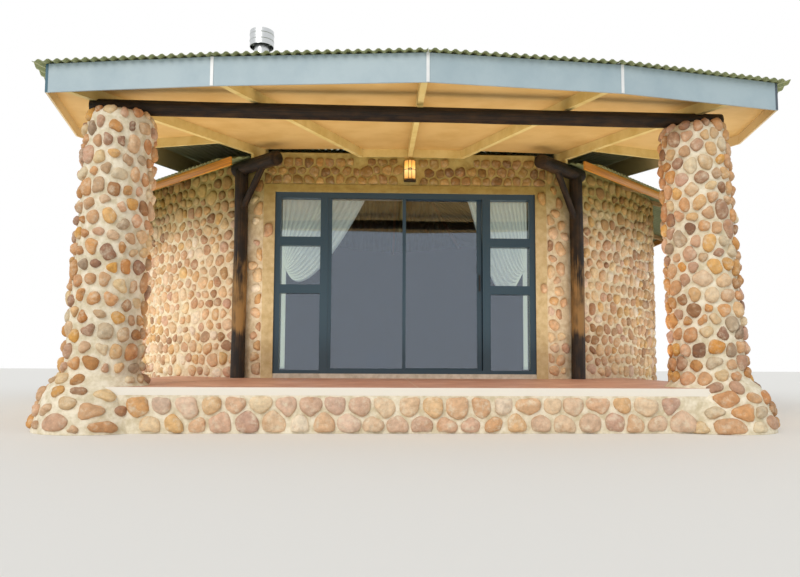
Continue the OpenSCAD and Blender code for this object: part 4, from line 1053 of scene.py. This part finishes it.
# %% Flue and lamp
bright, tree, shader = new_material("galvanised flue sheet", "#c9cccd", 0.32, 1.0)
spangle = add(tree, "ShaderNodeTexVoronoi", {"Vector": place_in(tree), "Scale": 60.0}).outputs["Distance"]
tree.links.new(span(tree, spangle, (0.0, 1.0), (0.24, 0.42)), shader.inputs["Roughness"])
finish_node(bright, "flue_pipe", "flue_cowl")

bronze, tree, shader = new_material("dark bronze paint", "#2a221b", 0.5)
finish_node(bronze, "lamp_frame")

LIT_HEIGHTS = (2.65, 2.88)
frosted, tree, shader = new_material("frosted amber lamp glass", "#ecc87c", 0.45)
shader.inputs["Transmission Weight"].default_value = 0.3
shader.inputs["Emission Strength"].default_value = 0.6
glow = ramp_of(tree, span(tree, height_in(tree), LIT_HEIGHTS),
               (0.0, "#c07f22"), (0.45, "#ffe6a0"), (0.72, "#f0bb55"), (1.0, "#a8681c"))
tree.links.new(glow, shader.inputs["Emission Color"])
finish_node(frosted, "lamp_shade")
print("flue and lamp finished")

# %% Cage of the lamp
lamp_low, lamp_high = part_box("lamp_shade")
middle_z = (lamp_low[2] + lamp_high[2]) / 2
ROD_R, DIAMOND = 0.0028, 0.017
CAGE_R = lamp_high[1] - lamp_low[1] + 0.0012


def on_cage(angle, z):
    """Points on the cage's half round, about the upright line on the wall behind the lamp."""
    x, y = LAMP_X + CAGE_R * np.cos(angle), lamp_high[1] + CAGE_R * np.sin(angle)
    return np.stack(np.broadcast_arrays(x, y, z), -1)


swing = np.radians(np.linspace(-172, -8, 24))
climb = np.linspace(lamp_low[2] + 0.002, lamp_high[2] - 0.004, 12)
share = np.linspace(-0.06, 1.06, 6)
tips = [(0.0, DIAMOND), (DIAMOND, 0.0), (0.0, -DIAMOND), (-DIAMOND, 0.0)]
rods = []
for level in (0.03, 0.50, 0.97):
    rods.append(sweep(on_cage(swing, lamp_low[2] + level * (lamp_high[2] - lamp_low[2])), ROD_R, cols=8))
for turned in np.radians((-166, -107, -73, -14)):
    rods.append(sweep(on_cage(turned, climb), ROD_R, ALONG_Y, cols=8))
for (x_from, z_from), (x_to, z_to) in zip(tips, tips[1:] + tips[:1]):
    over = (x_from + (x_to - x_from) * share) / CAGE_R - math.pi / 2
    rods.append(sweep(on_cage(over, middle_z + z_from + (z_to - z_from) * share), ROD_R, ALONG_Y, cols=8))
points, faces, _ = joined(rods)
piece("lamp_cage", points, faces, bronze)
print("lamp cage of", len(rods), "rods")

# %% [markdown]
# ## Curtains
# Each curtain is one cloth, cut 1.10 m wide and 2.15 m long and pleated on the rail. It
# is tied back to the side of the opening, so every thread runs from its own place on
# the rail along a curve to the tie and from there straight down. Pleats keep the
# cloth's width: where it is gathered to w, a zigzag of n pleats needs the depth
# sqrt(W^2 - w^2) / 4n to hold W.
# Thin voile glows with the light that comes through it, and a weak emission is that glow.

# %% Voile
sheer, tree, shader = new_material("off-white voile", "#efeddf", 0.85)
shader.inputs["Sheen Weight"].default_value = 0.2
shader.inputs["Emission Color"].default_value = linear("#e6e8d4")
shader.inputs["Emission Strength"].default_value = 0.26
patterned(tree, shader, None, (noise(tree, place_in(tree), 900.0, 1.0), 0.0003, 0.4))
print("voile ready")

# %% Curtains
CLOTH_W, CLOTH_L, PLEATS = 1.10, 2.15, 14
CLOTH_T, DEEPEST_PLEAT = 0.0008, 0.0185
RAIL_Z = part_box("curtain_rail")[0][2] - 0.0006
CURTAIN_Y = -3.4245
FOOT_Z = 0.47
TIE_W, TIE_Z, TIE_DROP = 0.050, 1.665, 0.038
UPPER_Z, UPPER_DROP, UPPER_SHARE = 2.20, 0.18, 0.78
LOWER_Z = 1.92
DRAPE_ROWS, TAIL_ROWS, CLOTH_COLS = 64, 22, 225
cloth_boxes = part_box("curtains")


def threads(reach, belly, sag):
    """Grids x and z of the cloth: thread u is a cubic curve over t from rail to tie, then a line down."""
    u, t = np.meshgrid(np.linspace(0, 1, CLOTH_COLS), np.linspace(0, 1, DRAPE_ROWS))
    tie_x, tie_z = TIE_W * u, TIE_Z - TIE_DROP * u
    knots = ((reach * u, RAIL_Z), (UPPER_SHARE * reach * u, UPPER_Z - UPPER_DROP * u),
             (belly * u ** 1.5, LOWER_Z - sag * u ** 1.3), (tie_x, tie_z))
    share = ((1 - t) ** 3, 3 * t * (1 - t) ** 2, 3 * t ** 2 * (1 - t), t ** 3)
    x = sum(w * k[0] for w, k in zip(share, knots))
    z = sum(w * k[1] for w, k in zip(share, knots))
    down = np.linspace(0, 1, TAIL_ROWS + 1)[1:, None]
    x = np.concatenate([x, np.repeat(tie_x[:1], TAIL_ROWS, 0)])
    return x, np.concatenate([z, tie_z[:1] + (FOOT_Z - tie_z[:1]) * down]), u[0]


def curtain(name, outer, inner, belly, sag, seed):
    """Tied-back cloth from outer to inner: pleats are a sine over u that keeps each row CLOTH_W wide."""
    sign = math.copysign(1.0, inner - outer)
    x, z, u = threads(abs(inner - outer), belly, sag)
    rng = np.random.default_rng(seed)
    step = np.hypot(np.diff(x, axis=1), np.diff(z, axis=1)).sum(1)
    depth = np.sqrt(np.maximum(CLOTH_W ** 2 - np.minimum(step, CLOTH_W * 0.98) ** 2, 0.0)) / (4 * PLEATS)
    phase = 0.6 * np.sin(2 * np.pi * (u * 2.3 + rng.uniform(0, 1)))
    y = CURTAIN_Y + np.minimum(depth, DEEPEST_PLEAT)[:, None] * np.sin(2 * np.pi * PLEATS * u + phase)[None]
    points = np.stack([outer + sign * (x + 0.002), y, z], -1).reshape(-1, 3)
    faces = grid_faces(DRAPE_ROWS + TAIL_ROWS, CLOTH_COLS, False)
    cloth = piece(name, points, faces if sign < 0 else faces[:, ::-1], sheer)
    hem = cloth.modifiers.new("thickness", "SOLIDIFY")
    hem.thickness, hem.offset = CLOTH_T, 0.0
    corner = points[faces]
    doubled = np.cross(corner[:, 2] - corner[:, 0], corner[:, 3] - corner[:, 1])
    area = 0.5 * np.linalg.norm(doubled, axis=1).sum()
    print(name, "cloth area", round(float(area), 3), "m2,", 4 * len(faces), "triangles")
    return cloth


left_cloth = curtain("left_curtain", cloth_boxes[0][0], -0.480, 0.217, 0.79, 51)
right_cloth = curtain("right_curtain", cloth_boxes[1][0], 0.740, 0.36, 1.12, 52)
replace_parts(left_cloth, "curtains")
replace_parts(right_cloth, "curtains")
